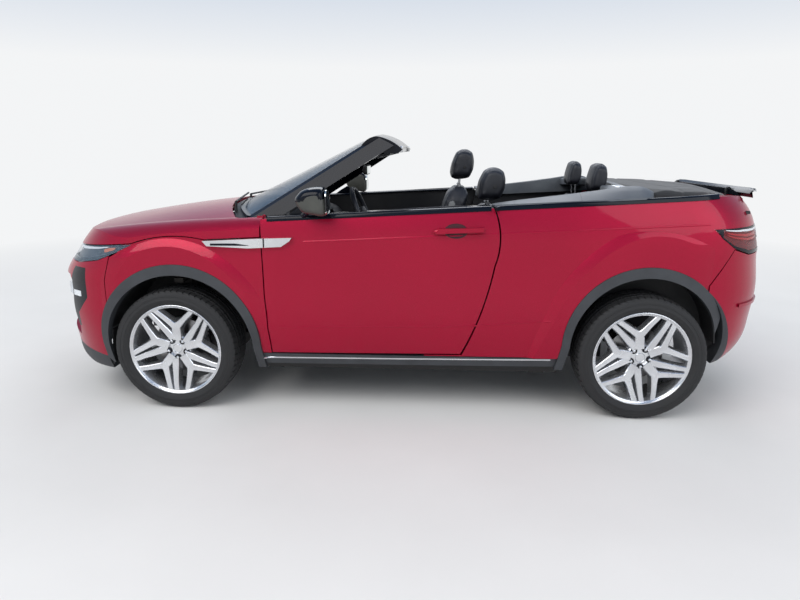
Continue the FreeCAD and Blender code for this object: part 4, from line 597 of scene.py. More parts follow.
def side_of(names, x, z, side):
    """How far out the named CAD nodes reach, at station x and height z on one side of the car."""
    found = []
    for node in names:
        hit = skin_of(node).ray_cast(Vector((x, side * 1.6, z)), Vector((0.0, -side, 0.0)))[0]
        if hit is not None:
            found.append(abs(hit.y))
    return side * max(found) if found else side * side_y


def top_of(names, x, y):
    """The highest point of the named CAD nodes at a place, or None."""
    found = []
    for node in names:
        hit = skin_of(node).ray_cast(Vector((x, y, 2.0)), Vector((0.0, 0.0, -1.0)))[0]
        if hit is not None:
            found.append(hit.z)
    return max(found) if found else None


def belt_z(x):
    """Height of the painted waist at station x."""
    return 1.120 + (x + 0.789) * 0.130 / 2.462


def stations(x0, x1, count):
    """Evenly spaced values, both ends included."""
    return [x0 + (x1 - x0) * n / count for n in range(count + 1)]


# Wheels: rim, spokes, nuts and tyre, drawn for the left side with the face towards -Y
def face_y(r):
    """The outer face of the spokes at radius r."""
    return 0.030 - rim_half - 0.022 * (max(r, 0.080) - 0.080) / 0.176


def back_y(r):
    """The inner face of the spokes at radius r."""
    return 0.086 - rim_half - 0.032 * max(0.0, r - 0.060) / 0.196


def spoke(path, steps=5):
    """A spoke along (x, z, width) points, with chamfered rims and slanted flanks."""
    run = spline(path, steps)
    rings = []
    for i, point in enumerate(run):
        ahead = run[min(i + 1, len(run) - 1)] - run[max(i - 1, 0)]
        along = Vector((ahead.x, ahead.y)).normalized()
        side = Vector((-along.y, along.x))
        half = point.z / 2
        r = math.hypot(point.x, point.y)
        front, back = face_y(r), back_y(r)
        section = [
            (-half - 0.006, back), (-half - 0.001, front + 0.012), (-half + 0.0005, front + 0.0035),
            (-half + 0.004, front), (0.0, front + 0.0012), (half - 0.004, front),
            (half - 0.0005, front + 0.0035), (half + 0.001, front + 0.012), (half + 0.006, back),
        ]
        rings.append([Vector((point.x + a * side.x, y, point.y + a * side.y)) for a, y in section])
    return loft(rings)


# One fifth of the wheel's face. Columns: station and height of each point, and the width there
SPOKE_PATHS = (
    ((0.000, 0.052, 0.052), (0.000, 0.095, 0.052), (-0.001, 0.130, 0.047), (-0.030, 0.158, 0.036),
     (-0.072, 0.195, 0.031), (-0.122, 0.238, 0.029)),
    ((0.000, 0.052, 0.052), (0.000, 0.095, 0.052), (0.001, 0.130, 0.047), (0.028, 0.160, 0.036),
     (0.066, 0.200, 0.031), (0.108, 0.241, 0.029)),
    ((-0.024, 0.058, 0.040), (-0.052, 0.097, 0.040), (-0.086, 0.140, 0.034), (-0.114, 0.176, 0.031),
     (-0.155, 0.222, 0.030)),
)
spoke_count = 5
bolt_circle = 0.054


def rim_shape():
    """Barrel, hub and spokes of one wheel."""
    w, r = rim_half, rim_radius
    barrel = [
        (r - 0.0095, -w + 0.013), (r, -w + 0.013), (r, -w + 0.001), (r - 0.002, -w),
        (r - 0.006, -w + 0.0005),
        (r - 0.009, -w + 0.004), (r - 0.013, -w + 0.006), (r - 0.018, -w + 0.010), (r - 0.022, -w + 0.022),
        (r - 0.025, -w + 0.045), (r - 0.027, -w + 0.070), (r - 0.027, w - 0.012), (r - 0.004, w), (r, w),
        (r, w - 0.008), (r - 0.0095, w - 0.010),
    ]
    hub = [
        (0.0, -w + 0.0375), (0.024, -w + 0.0375), (0.0265, -w + 0.040), (0.029, -w + 0.0375),
        (0.034, -w + 0.038),
        (0.040, -w + 0.040), (0.068, -w + 0.042), (0.076, -w + 0.050), (0.079, -w + 0.088),
        (0.0, -w + 0.088),
    ]
    shape = Shape(lathe(barrel, 120)).add(lathe(hub, 60))
    one = Shape()
    for path in SPOKE_PATHS:
        one.add(spoke(path))
    for n in range(spoke_count):
        shape.add(one.placed(Matrix.Rotation(math.radians(360 / spoke_count * n), 4, "Y")))
    return shape


def bolt_places():
    for n in range(spoke_count):
        angle = math.radians(36 + 360 / spoke_count * n)
        yield bolt_circle * math.sin(angle), bolt_circle * math.cos(angle)


def nut_shade_cups():
    """The recesses round the wheel nuts, in black that is painted shade of the alloy's nut bores."""
    w = rim_half
    shape = Shape()
    for x, z in bolt_places():
        shape.add(lathe([(0.0105, -w + 0.035), (0.0155, -w + 0.0330), (0.0180, -w + 0.0350),
                         (0.0180, -w + 0.046),
                         (0.0105, -w + 0.046)], 24, x, z))
    return shape


def nuts():
    """The bright six-sided wheel nuts, with domed ends."""
    w = rim_half
    shape = Shape()
    for x, z in bolt_places():
        rings = []
        for y, r in ((-w + 0.048, 0.0095), (-w + 0.034, 0.0095), (-w + 0.031, 0.0085),
                     (-w + 0.0295, 0.0055)):
            rings.append([
                Vector((x + r * math.sin(math.pi / 3 * k), y, z + r * math.cos(math.pi / 3 * k)))
                for k in range(6)
            ])
        shape.add(loft(rings))
        shape.add(lathe([(0.0, -w + 0.0275), (0.0035, -w + 0.028), (0.0055, -w + 0.0295),
                         (0.0, -w + 0.032)], 12, x, z))
    return shape


tread_pitches = 62
groove_depth = 0.007


def tyre_shape():
    """Sidewalls with fine rings, four grooves round the tread and slanted cuts across its ribs."""
    grooves = (-0.062, -0.026, 0.026, 0.062)
    columns = []
    edges = sorted({-0.104, 0.104, -0.084, 0.084, -0.044, 0.044, 0.0}
                   | {g + d for g in grooves for d in (-0.0055, -0.0040, 0.0040, 0.0055)})
    for y in edges:
        in_groove = any(abs(y - g) < 0.0045 for g in grooves)
        crown = tyre_radius - 0.0005 - 0.0075 * (y / 0.104) ** 4
        columns.append((crown - (groove_depth if in_groove else 0.0), y, in_groove))
    side = [
        (0.3430, 0.1115), (0.3380, 0.1150), (0.3300, 0.1172), (0.3230, 0.1182), (0.3222, 0.1196),
        (0.3195, 0.1196),
        (0.3187, 0.1186), (0.3120, 0.1198), (0.3050, 0.1212), (0.3042, 0.1218), (0.3000, 0.1219),
        (0.2992, 0.1209),
        (0.2930, 0.1190), (0.2890, 0.1165), (0.2872, 0.1160), (0.2800, 0.1118), (0.2740, 0.1060),
        (0.2650, 0.0980),
        (0.2620, 0.0965),
    ]
    left = [(r, -y) for r, y in side]
    rings = []
    for n in range(tread_pitches):
        for share, high in ((0.0, False), (0.16, False), (0.20, True), (0.96, True)):
            angle = 2 * math.pi * (n + share) / tread_pitches
            ring = []
            for r, y in reversed(left):
                ring.append((r, y, 0.0))
            for r, y, in_groove in columns:
                cut = 0.0
                if not high and not in_groove:
                    cut = 0.0055 if abs(y) > 0.068 else (0.0035 if abs(y) > 0.03 else 0.002)
                ring.append((r - cut, y, 0.35 * y))
            for r, y in side:
                ring.append((r, y, 0.0))
            rings.append([
                Vector((r * math.sin(angle + lean), y, r * math.cos(angle + lean))) for r, y, lean in ring
            ])
    return Shape(loft(rings, closed=True))


# Columns: name, station, half track, side of the car, turn of the wheel about its axle in degrees
WHEELS = (
    ("front_left", front_axle_x, 0.8105, -1, 2.0),
    ("front_right", front_axle_x, 0.8105, 1, 2.0),
    ("rear_left", rear_axle_x, 0.8140, -1, -7.0),
    ("rear_right", rear_axle_x, 0.8140, 1, -7.0),
)


def add_wheels():
    drawn = (
        ("wheel_face", rim_shape(), alloy, "rim_", 28.0),
        # The black gloss of the nut cups is painted shade inside the wheel's nut bores.
        ("nut_shade_cups", nut_shade_cups(), black_gloss, None, 40.0),
        ("wheel_nuts", nuts(), bright_trim, None, 30.0),
        ("road_tyre", tyre_shape(), rubber, "tyre_", 30.0),
    )
    for name, x, y, side, turn in WHEELS:
        place = Matrix.Translation((x, side * y, axle_z))
        if side > 0:
            place = place @ Matrix.Rotation(math.pi, 4, "Z")
        place = place @ Matrix.Rotation(math.radians(turn), 4, "Y")
        for kind, shape, material, stands_for, sharp in drawn:
            made = piece(kind + "_" + name, shape.placed(place), "wheel_" + name, material, sharp)
            if stands_for:
                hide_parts(stands_for + name)


# Upholstery: closed forms, swelled by cloth simulation and then sewn
class Pad:
    """A cushion on its way to its final form."""

    def __init__(self, name, shape, voxel, cap, body="car"):
        self.thing = new_thing(name, shape)
        self.cap = cap
        self.body = body
        remesh = self.thing.modifiers.new("voxels", "REMESH")
        remesh.mode = "VOXEL"
        remesh.voxel_size = voxel
        even = self.thing.modifiers.new("even", "SMOOTH")
        even.factor = 0.6
        even.iterations = 6
        self.bake()
        self.rest = [v.co.copy() for v in self.thing.data.vertices]

    def bake(self):
        """Takes the modifiers into the mesh."""
        graph = bpy.context.evaluated_depsgraph_get()
        mesh = bpy.data.meshes.new_from_object(self.thing.evaluated_get(graph))
        self.thing.modifiers.clear()
        self.thing.data = mesh

    def fill(self):
        cloth = self.thing.modifiers.new("filling", "CLOTH")
        settings = cloth.settings
        settings.quality = 4
        settings.use_pressure = True
        settings.uniform_pressure_force = 4.0
        settings.tension_stiffness = 25.0
        settings.compression_stiffness = 25.0
        settings.effector_weights.gravity = 0.0

    def hold(self):
        """Keeps each point within the cap of its place before the filling."""
        for vertex, start in zip(self.thing.data.vertices, self.rest):
            moved = vertex.co - start
            if moved.length > self.cap:
                vertex.co = start + moved * (self.cap / moved.length)

    def sew(self, depth_at):
        """Presses channels in: depth_at gives the depth for a point, in the pad's own place."""
        mesh = self.thing.data
        for vertex, normal in [(v, v.normal.copy()) for v in mesh.vertices]:
            vertex.co -= normal * depth_at(vertex.co)

    def done(self, material, stands_for, fill=0.8):
        subdivision = self.thing.modifiers.new("finer", "SUBSURF")
        subdivision.levels = 1
        subdivision.render_levels = 1
        self.bake()
        mesh = self.thing.data
        mesh.materials.clear()
        mesh.materials.append(material)
        mesh.polygons.foreach_set("use_smooth", [True] * len(mesh.polygons))
        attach(self.thing, self.body)
        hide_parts(stands_for)
        return self.thing


def settle(pads):
    """Swells all the pads together."""
    scene = bpy.context.scene
    for pad in pads:
        pad.fill()
    for frame_number in range(1, 19):
        scene.frame_set(frame_number)
    for pad in pads:
        pad.bake()
        pad.hold()
    scene.frame_set(1)


def upright_pad(side_outline, y_middle, half_width, taper, corner=0.05, steps=8):
    """A side outline carried across the car, narrowed towards both flanks as taper says."""
    rings = []
    middle = sum((Vector(p) for p in side_outline), Vector((0.0, 0.0))) / len(side_outline)
    for n in range(-steps, steps + 1):
        share = n / steps
        y = y_middle + half_width * math.sin(share * math.pi / 2)
        edge = half_width - abs(y - y_middle)
        pull = 1.0 if edge > corner else 1.0 - taper * (1.0 - edge / corner) ** 2
        rings.append([
            Vector((middle.x + (p[0] - middle.x) * pull, y, middle.y + (p[1] - middle.y) * pull))
            for p in side_outline
        ])
    return Shape(loft(rings))


def narrowed(shape, y_middle, from_z, to_z, to_share):
    """The shape with its width drawn in towards the top."""
    for p in shape.points:
        t = min(max((p.z - from_z) / (to_z - from_z), 0.0), 1.0)
        p.y = y_middle + (p.y - y_middle) * (1.0 - (1.0 - to_share) * t ** 2)
    return shape


def gauss(distance, width):
    """A soft hump, one at its middle."""
    return math.exp(-((distance / width) ** 2))


# Columns: name, side of the car, shift along the car, top of the backrest, low and high edge of the headrest
FRONT_SEATS = (
    ("right", 1.0, 0.0, 1.253, 1.288, 1.497),
    ("left", -1.0, 0.165, 1.180, 1.194, 1.390),
)
seat_y = 0.360
rear_seat_x = 1.337 - 0.385


def headrest_outline(x, low, high, lean):
    """Side view of a front headrest."""
    return [
        (x + 0.436 + lean, low + 0.006), (x + 0.500 + lean, low), (x + 0.572 + lean, low + 0.008),
        (x + 0.600 + lean, low + 0.070), (x + 0.604 + lean, low + 0.125), (x + 0.592 + lean, high - 0.024),
        (x + 0.556 + lean, high - 0.002), (x + 0.514 + lean, high - 0.003),
        (x + 0.478 + lean, high - 0.022),
        (x + 0.448 + lean, low + 0.110),
    ]


def add_headrest_stems(name, x, y, lean, back_top, low):
    """Two bright stems in collars on top of the backrest."""
    stems = Shape()
    for offset in (-0.060, 0.060):
        stems.add(sweep(
            [(x + 0.498 + lean, y + offset, back_top - 0.050), (x + 0.506 + lean, y + offset, low + 0.030)],
            round_section(0.0065), up=(1.0, 0.0, 0.0),
        ))
        collar = [(0.0, -0.006), (0.014, -0.006), (0.014, 0.002), (0.010, 0.006), (0.0, 0.006)]
        ring = Shape(lathe(collar, 20)).placed(
            standing(x + 0.499 + lean, y + offset, back_top - 0.004))
        stems.add(ring)
    piece("headrest_stems_" + name, stems, "car", bright_trim)


def add_seat_base(name, x, y):
    """Rails and slides, a pan, and a cover on each flank."""
    frame_parts = Shape()
    for offset in (-0.190, 0.190):
        frame_parts.add(rounded_box((x + 0.030, y + offset - 0.018, 0.2655),
                                    (x + 0.480, y + offset + 0.018, 0.298), 0.004))
        frame_parts.add(rounded_box((x + 0.060, y + offset - 0.012, 0.296),
                                    (x + 0.440, y + offset + 0.012, 0.402), 0.006))
    frame_parts.add(rounded_box((x + 0.020, y - 0.232, 0.375), (x + 0.490, y + 0.232, 0.408), 0.014))
    for flank in (-1, 1):
        frame_parts.add(slab(
            [(x + 0.06, 0.36), (x + 0.50, 0.36), (x + 0.535, 0.44), (x + 0.49, 0.52), (x + 0.40, 0.47),
             (x + 0.10, 0.46)],
            y + flank * 0.249, y + flank * 0.232, 0.006,
        ))
    piece("front_seat_base_" + name, frame_parts, "car", black_plastic)


def add_headrest_button(name, x, y, low):
    """The small knob on the flank of the headrest."""
    buttons = Shape(lathe(
        [(0.0, -0.010), (0.009, -0.010), (0.011, -0.008), (0.011, 0.0), (0.0, 0.0)], 20, x + 0.535,
        low + 0.085,
    ))
    for p in buttons.points:
        p.y += y - 0.117
    piece("headrest_button_" + name, buttons, "car", black_plastic)


def add_front_seats():
    """Cushion, backrest and headrest of both front seats, swelled together."""
    pads = []
    plans = []
    for name, side, shift, back_top, low, high in FRONT_SEATS:
        x = front_axle_x + 1.000 + shift
        y = side * seat_y
        lean = (back_top - 0.520) * 0.23
        cushion = upright_pad(
            [
                (x + 0.005, 0.408), (x + 0.250, 0.402), (x + 0.495, 0.398), (x + 0.516, 0.470),
                (x + 0.432, 0.560),
                (x + 0.330, 0.553), (x + 0.200, 0.551), (x + 0.100, 0.566), (x + 0.030, 0.592),
                (x - 0.012, 0.578),
                (x - 0.014, 0.510),
            ],
            y, 0.242, 0.16,
        )
        back = upright_pad(
            [
                (x + 0.398, 0.500), (x + 0.470, 0.480), (x + 0.525, 0.480),
                (x + 0.532 + lean * 0.6, 0.5 * (back_top + 0.45)),
                (x + 0.566 + lean, back_top - 0.060), (x + 0.545 + lean, back_top - 0.012),
                (x + 0.470 + lean, back_top - 0.008),
                (x + 0.424 + lean, back_top - 0.060), (x + 0.408 + lean * 0.75, back_top - 0.220),
                (x + 0.412 + lean * 0.4, 0.800), (x + 0.410, 0.640),
            ],
            y, 0.238, 0.22,
        )
        back = narrowed(back, y, back_top - 0.30, back_top, 0.68)
        rest = upright_pad(headrest_outline(x, low, high, lean), y, 0.120, 0.34, 0.06)
        cushion_pad = Pad("front_cushion_" + name, cushion, 0.012, 0.010)
        back_pad = Pad("front_backrest_" + name, back, 0.012, 0.009)
        rest_pad = Pad("front_headrest_" + name, rest, 0.009, 0.007)
        pads += [cushion_pad, back_pad, rest_pad]
        plans.append((cushion_pad, back_pad, rest_pad, x, y, lean, back_top, low, high, name))
    settle(pads)
    for cushion_pad, back_pad, rest_pad, x, y, lean, back_top, low, high, name in plans:
        cushion_pad.sew(lambda p: seams(p.y - y, 0.150, p.x - x, (0.10, 0.21, 0.32), p.z > 0.50))
        back_pad.sew(lambda p: seams(p.y - y, 0.140, p.z, (0.72, 0.84, 0.96, 1.08),
                                     p.x < x + 0.47 + lean * (p.z - 0.45)))
        rest_pad.sew(lambda p: 0.0022 * gauss(abs(p.y - y) - 0.088, 0.006))
        cushion_pad.done(seat_leather, "front_seats")
        back_pad.done(seat_leather, "front_seats")
        rest_pad.done(seat_leather, "front_seats", 0.9)
        second_finish(back_pad.thing, pale_leather,
                      lambda c: abs(c.y - y) > 0.214 - 0.10 * max(0.0, c.z - back_top + 0.25)
                      and c.x > x + 0.452 + lean * (c.z - 0.50) / (back_top - 0.50) and c.z > 0.60)
        add_headrest_stems(name, x, y, lean, back_top, low)
        add_seat_base(name, x, y)
        add_headrest_button(name, x + lean, y, low)


def seams(across, bolster, along, channels, on_face):
    """Depth of the sewn channels: two long ones beside the bolsters, and cross ones between them."""
    if not on_face:
        return 0.0012 * gauss(abs(across) - 0.228, 0.006)
    depth = 0.0065 * gauss(abs(across) - bolster, 0.007)
    if abs(across) < bolster:
        depth += sum(0.0045 * gauss(along - c, 0.007) for c in channels)
    depth -= 0.010 * gauss(abs(across) - 0.195, 0.03)
    return depth


def add_rear_seats():
    """Cushion, backrest and headrest of both rear places, swelled together."""
    x = rear_seat_x - 0.200
    pads = []
    plans = []
    for name, side in (("left", -1.0), ("right", 1.0)):
        y = side * 0.330
        cushion = upright_pad(
            [
                (x + 0.010, 0.438), (x + 0.200, 0.436), (rear_axle_x - 0.104, 0.438),
                (rear_axle_x - 0.110, 0.540),
                (x + 0.380, 0.540), (x + 0.250, 0.546), (x + 0.160, 0.553), (x + 0.050, 0.573),
                (x - 0.006, 0.555),
                (x + 0.003, 0.500),
            ],
            y, 0.262, 0.14,
        )
        back = upright_pad(
            [
                (rear_axle_x - 0.244, 0.556), (rear_axle_x - 0.170, 0.552), (rear_axle_x - 0.104, 0.556),
                (rear_axle_x - 0.101, 0.850), (rear_axle_x - 0.100, 1.150), (rear_axle_x - 0.140, 1.186),
                (rear_axle_x - 0.178, 1.172), (rear_axle_x - 0.205, 1.000), (rear_axle_x - 0.228, 0.760),
            ],
            y, 0.262, 0.18,
        )
        rest = upright_pad(
            [
                (rear_axle_x - 0.228, 1.256), (rear_axle_x - 0.188, 1.250), (rear_axle_x - 0.148, 1.252),
                (rear_axle_x - 0.130, 1.300), (rear_axle_x - 0.128, 1.350), (rear_axle_x - 0.136, 1.396),
                (rear_axle_x - 0.168, 1.418), (rear_axle_x - 0.204, 1.404), (rear_axle_x - 0.222, 1.330),
            ],
            y, 0.112, 0.34, 0.06,
        )
        cushion_pad = Pad("rear_cushion_" + name, cushion, 0.013, 0.008)
        back_pad = Pad("rear_backrest_" + name, back, 0.013, 0.008)
        rest_pad = Pad("rear_headrest_" + name, rest, 0.009, 0.006)
        pads += [cushion_pad, back_pad, rest_pad]
        plans.append((cushion_pad, back_pad, rest_pad, y, name))
    settle(pads)
    for cushion_pad, back_pad, rest_pad, y, name in plans:
        cushion_pad.sew(lambda p: seams(p.y - y, 0.150, p.x - x, (0.12, 0.24, 0.36), p.z > 0.50))
        back_pad.sew(lambda p: seams(p.y - y, 0.150, p.z, (0.70, 0.82, 0.94, 1.06),
                                     p.x < rear_axle_x - 0.16))
        rest_pad.sew(lambda p: 0.0020 * gauss(abs(p.y - y) - 0.082, 0.006))
        for pad in (cushion_pad, back_pad, rest_pad):
            pad.done(seat_leather, "rear_seats")
        stems = Shape()
        for offset in (-0.060, 0.060):
            stems.add(sweep([(rear_axle_x - 0.160, y + offset, 1.150),
                             (rear_axle_x - 0.170, y + offset, 1.275)],
                            round_section(0.0065), up=(1.0, 0.0, 0.0)))
        piece("rear_headrest_stems_" + name, stems, "car", bright_trim)


def add_seat_divider():
    """The plain panel between the two rear places, with its buckles."""
    x = rear_seat_x - 0.200
    divider = Shape()
    divider.add(rounded_box((rear_axle_x - 0.236, -0.062, 0.545), (rear_axle_x - 0.100, 0.062, 1.088),
                            0.018))
    divider.add(rounded_box((x + 0.205, -0.062, 0.433), (rear_axle_x - 0.100, 0.062, 0.545), 0.012))
    for side in (-0.025, 0.025):
        divider.add(rounded_box((x + 0.25, side * 1.1 - 0.024, 0.540),
                                (x + 0.33, side * 1.1 + 0.024, 0.549), 0.004))
    made = piece("rear_seat_divider", divider, "car", black_plastic)
    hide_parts("rear_seats")


# Body sides: waist strips, door cards, creases, handles and strips
DOORS = {"left": -1, "right": 1}


def band(names, side, x0, x1, low, high, proud, count=40, inner=None):
    """A strip on the body side between two heights, each a function of the station."""
    rings = []
    for x in stations(x0, x1, count):
        z0, z1 = low(x), high(x)
        y0, y1 = abs(side_of(names, x, z0, side)), abs(side_of(names, x, z1, side))
        ym = abs(side_of(names, x, 0.5 * (z0 + z1), side))
        back = 0.003 if inner is None else inner
        ring = [
            (y0 + 0.0002, z0), (0.5 * (y0 + ym) + 0.8 * proud, z0 + 0.25 * (z1 - z0)),
            (ym + proud, 0.5 * (z0 + z1)),
            (0.5 * (y1 + ym) + 0.8 * proud, z0 + 0.75 * (z1 - z0)), (y1 + 0.0002, z1),
            (min(y0, y1) - back, 0.5 * (z0 + z1)),
        ]
        rings.append([Vector((x, side * y, z)) for y, z in ring])
    return loft(rings)


def waist_cap(names, side, x0, x1, depth, count=44, height=0.012, drop=0.014):
    """The black strip along the top of the body side, turned down over the paint."""
    rings = []
    for x in stations(x0, x1, count):
        z = belt_z(x)
        out = abs(side_of(names, x, z - drop - 0.001, side))
        top = abs(side_of(names, x, z - 0.003, side))
        ring = [
            (out + 0.0005, z - drop), (out + 0.0035, z - drop + 0.001), (top + 0.0040, z + 0.003),
            (top + 0.0005, z + height - 0.003), (top - 0.006, z + height),
            (top - depth + 0.006, z + height - 0.001),
            (top - depth, z + height - 0.006), (top - depth, z + 0.0006), (top - 0.001, z + 0.0006),
        ]
        rings.append([Vector((x, side * y, zz)) for y, zz in ring])
    return loft(rings)


def add_waist():
    """Black strips along the top edge of doors and quarters."""
    for name, side in DOORS.items():
        door = "door_" + name
        cap = Shape(waist_cap([door], side, door_front_x + 0.020, door_rear_x - 0.046, 0.112))
        piece("door_waist_strip_" + name, cap, door, black_gloss, 45.0)
    for name, side in DOORS.items():
        strip = Shape(waist_cap(["quarter_panels"], side, door_rear_x - 0.028, rear_axle_x + 0.372, 0.050))
        piece("quarter_waist_strip_" + name, strip, "car", black_gloss, 45.0)


def door_card_outline(x0, x1, grow=0.0):
    """Side view of a door's lining."""
    return [
        (x0 + 0.020, 0.372 - grow), (x1 - 0.210, 0.386 - grow), (x1 - 0.150, 0.480),
        (x1 - 0.110 + grow, 0.620),
        (x1 - 0.072 + grow, 0.780), (x1 - 0.052 + grow, 0.930), (x1 - 0.046 + grow, 1.050),
        (x1 - 0.062, belt_z(x1) + 0.004),
        (x0 + 0.330, belt_z(x0 + 0.33) + 0.006), (x0 + 0.060, belt_z(x0) + 0.004), (x0 - grow, 1.000),
        (x0 - grow, 0.700),
        (x0, 0.500),
    ]


card_front_x = door_front_x + 0.045
card_rear_x = door_rear_x - 0.010
card_y = side_y - 0.125


def add_door_card(name, side):
    """The lining and its bright line."""
    door = "door_" + name
    x0, x1 = card_front_x, card_rear_x
    inner = side * card_y
    outline = spline([Vector(p) for p in door_card_outline(x0, x1)], 4, closed=True)
    card = Shape(slab(outline, inner + side * 0.0006, inner - side * 0.013, 0.005))
    piece("door_card_" + name, card, door, black_plastic, 40.0)
    trim = Shape()
    line = spline([(x0 + 0.06, 0.915, 0.0), (x0 + 0.40, 0.905, 0.0), (x0 + 0.80, 0.930, 0.0),
                   (x1 - 0.10, 0.985, 0.0)], 8)
    trim.add(sweep([(p.x, inner - side * 0.014, p.y) for p in line], round_section(0.0085, 10),
                   up=(0.0, 1.0, 0.0)))
    piece("door_trim_line_" + name, trim, door, bright_trim)


def add_door_armrest(name, side):
    """A padded rest; its path's points are (station, height, width)."""
    door = "door_" + name
    x0 = card_front_x
    inner = side * card_y
    soft = Shape()
    path = spline([(x0 + 0.15, 0.685, 0.052), (x0 + 0.30, 0.700, 0.066), (x0 + 0.62, 0.700, 0.070),
                   (x0 + 0.86, 0.735, 0.040)], 6)
    rings = []
    for p in path:
        section = [(0.004, -0.034), (0.030, -0.036), (p.z - 0.014, -0.030), (p.z, -0.014), (p.z, 0.004),
                   (p.z - 0.014, 0.014),
                   (0.030, 0.018), (0.004, 0.016)]
        rings.append([Vector((p.x, inner - side * (0.006 + a), p.y + b)) for a, b in section])
    soft.add(loft(rings))
    piece("door_armrest_" + name, soft, door, seat_leather, 60.0)


def add_door_speaker(name, side):
    """Rings round a domed middle."""
    door = "door_" + name
    x0 = card_front_x
    inner = side * card_y
    grille = Shape()
    cx, cz = x0 + 0.21, 0.500
    for n in range(7):
        r = 0.018 + 0.0115 * n
        ring = [(r - 0.0035, -0.002), (r + 0.0035, -0.002), (r + 0.0025, 0.003), (r - 0.0025, 0.003)]
        grille.add(lathe([(a, inner - side * (0.013 + b)) for a, b in ring], 48, cx, cz))
    grille.add(lathe([(0.0, inner - side * 0.012), (0.012, inner - side * 0.012),
                      (0.009, inner - side * 0.018),
                      (0.0, inner - side * 0.019)], 24, cx, cz))
    piece("door_speaker_" + name, grille, door, grey_plastic)


def add_door_release(name, side):
    """The bent bar that opens the door from inside, and the pocket below."""
    door = "door_" + name
    x0 = card_front_x
    inner = side * card_y
    pull = Shape()
    at = spline([(x0 + 0.20, 0.870, 0.0), (x0 + 0.25, 0.880, 0.026), (x0 + 0.32, 0.880, 0.026),
                 (x0 + 0.37, 0.872, 0.0)], 6)
    pull.add(sweep([(p.x, inner - side * (0.012 + p.z), p.y) for p in at], round_section(0.009, 10, 0.6),
                   up=(0.0, 0.0, 1.0)))
    piece("door_release_" + name, pull, door, bright_trim)
    pocket = Shape()
    pocket.add(slab([(x0 + 0.36, 0.420), (x0 + 0.98, 0.432), (x0 + 1.03, 0.520), (x0 + 0.98, 0.548),
                     (x0 + 0.40, 0.536)],
                    inner - side * 0.012, inner - side * 0.040, 0.008))
    piece("door_pocket_" + name, pocket, door, grey_plastic, 40.0)


def add_door_cards():
    for name, side in DOORS.items():
        add_door_card(name, side)
        add_door_armrest(name, side)
        add_door_speaker(name, side)
        add_door_release(name, side)


def shoulder(x):
    """Height of the shoulder line at station x."""
    return 0.995 + 0.0497 * (x + 0.66)


def swage(x):
    """Height of the low swage line at station x, which kicks up towards the rear wheel."""
    return 0.509 + 0.0262 * (x + 0.79) + max(0.0, x - 0.35) * 0.05


def add_creases():
    """The shoulder line and the low swage line, as fine ridges in the paint."""
    for name, side in DOORS.items():
        door = "door_" + name
        lines = Shape()
        for height, wide in ((shoulder, 0.012), (swage, 0.010)):
            start = door_front_x + 0.07 if height is swage else -0.55
            end = door_rear_x - (0.006 if height is shoulder else 0.110)
            lines.add(band([door], side, start, end, lambda x: height(x) - wide / 2,
                           lambda x: height(x) + wide / 2, 0.0016))
        piece("door_creases_" + name, lines, door, red_paint, 60.0)
        lines = Shape()
        lines.add(band(["quarter_panels"], side, door_rear_x + 0.012, 1.640,
                       lambda x: shoulder(x) - 0.006, lambda x: shoulder(x) + 0.006, 0.0016))
        lines.add(band(["quarter_panels"], side, door_rear_x - 0.088, 0.820,
                       lambda x: swage(x) - 0.005, lambda x: swage(x) + 0.005, 0.0016, 16))
        piece("quarter_creases_" + name, lines, "car", red_paint, 60.0)


handle_front_x = 0.172
handle_rear_x = 0.436
handle_z = 1.071


def add_handle_recess(name, side):
    """A shallow dish behind the grip, coloured darker red as painted shade of the real recess."""
    door = "door_" + name
    z = handle_z
    skin = lambda x, zz: abs(side_of([door], x, zz, side))
    rings = []
    for share, lift in ((1.0, 0.0), (1.0, 0.0022), (0.93, 0.0026), (0.80, 0.0014), (0.45, 0.0010),
                        (0.02, 0.0009)):
        ring = []
        for n in range(40):
            angle = 2 * math.pi * n / 40
            x = 0.288 + 0.064 * share * math.cos(angle)
            zz = z - 0.004 + 0.040 * share * math.sin(angle)
            ring.append(Vector((x, side * (skin(0.12, zz) * 0.5 + skin(0.46, zz) * 0.5 + lift), zz)))
        rings.append(ring)
    piece("handle_recess_" + name, Shape(loft(rings)), door, painted_recess_shade, 50.0)


def add_door_grip(name, side):
    """A bar that thins out at both ends; its path's points are (station, share of size, height)."""
    door = "door_" + name
    x0, x1, z = handle_front_x, handle_rear_x, handle_z
    flat = min(abs(side_of([door], x, z - 0.03, side)) for x in (0.12, 0.45))
    rings = []
    for p in spline([(x0 - 0.010, 0.4, z - 0.009), (x0 + 0.010, 0.75, z - 0.008),
                     (0.230, 1.0, z - 0.003), (0.340, 1.0, z + 0.001),
                     (x1 - 0.020, 0.98, z + 0.006), (x1 + 0.002, 0.80, z + 0.007)], 5):
        base = flat - 0.001
        out = base + 0.024 * p.y
        half = 0.0135 * min(1.0, p.y + 0.1)
        section = [
            (base, -half), (out - 0.006, -half), (out - 0.001, -half * 0.55), (out, 0.0),
            (out - 0.001, half * 0.55),
            (out - 0.006, half), (base, half),
        ]
        rings.append([Vector((p.x, side * a, p.z + b)) for a, b in section])
    piece("door_grip_" + name, Shape(loft(rings)), door, red_paint, 40.0)


def add_handles():
    for name, side in DOORS.items():
        add_handle_recess(name, side)
        add_door_grip(name, side)


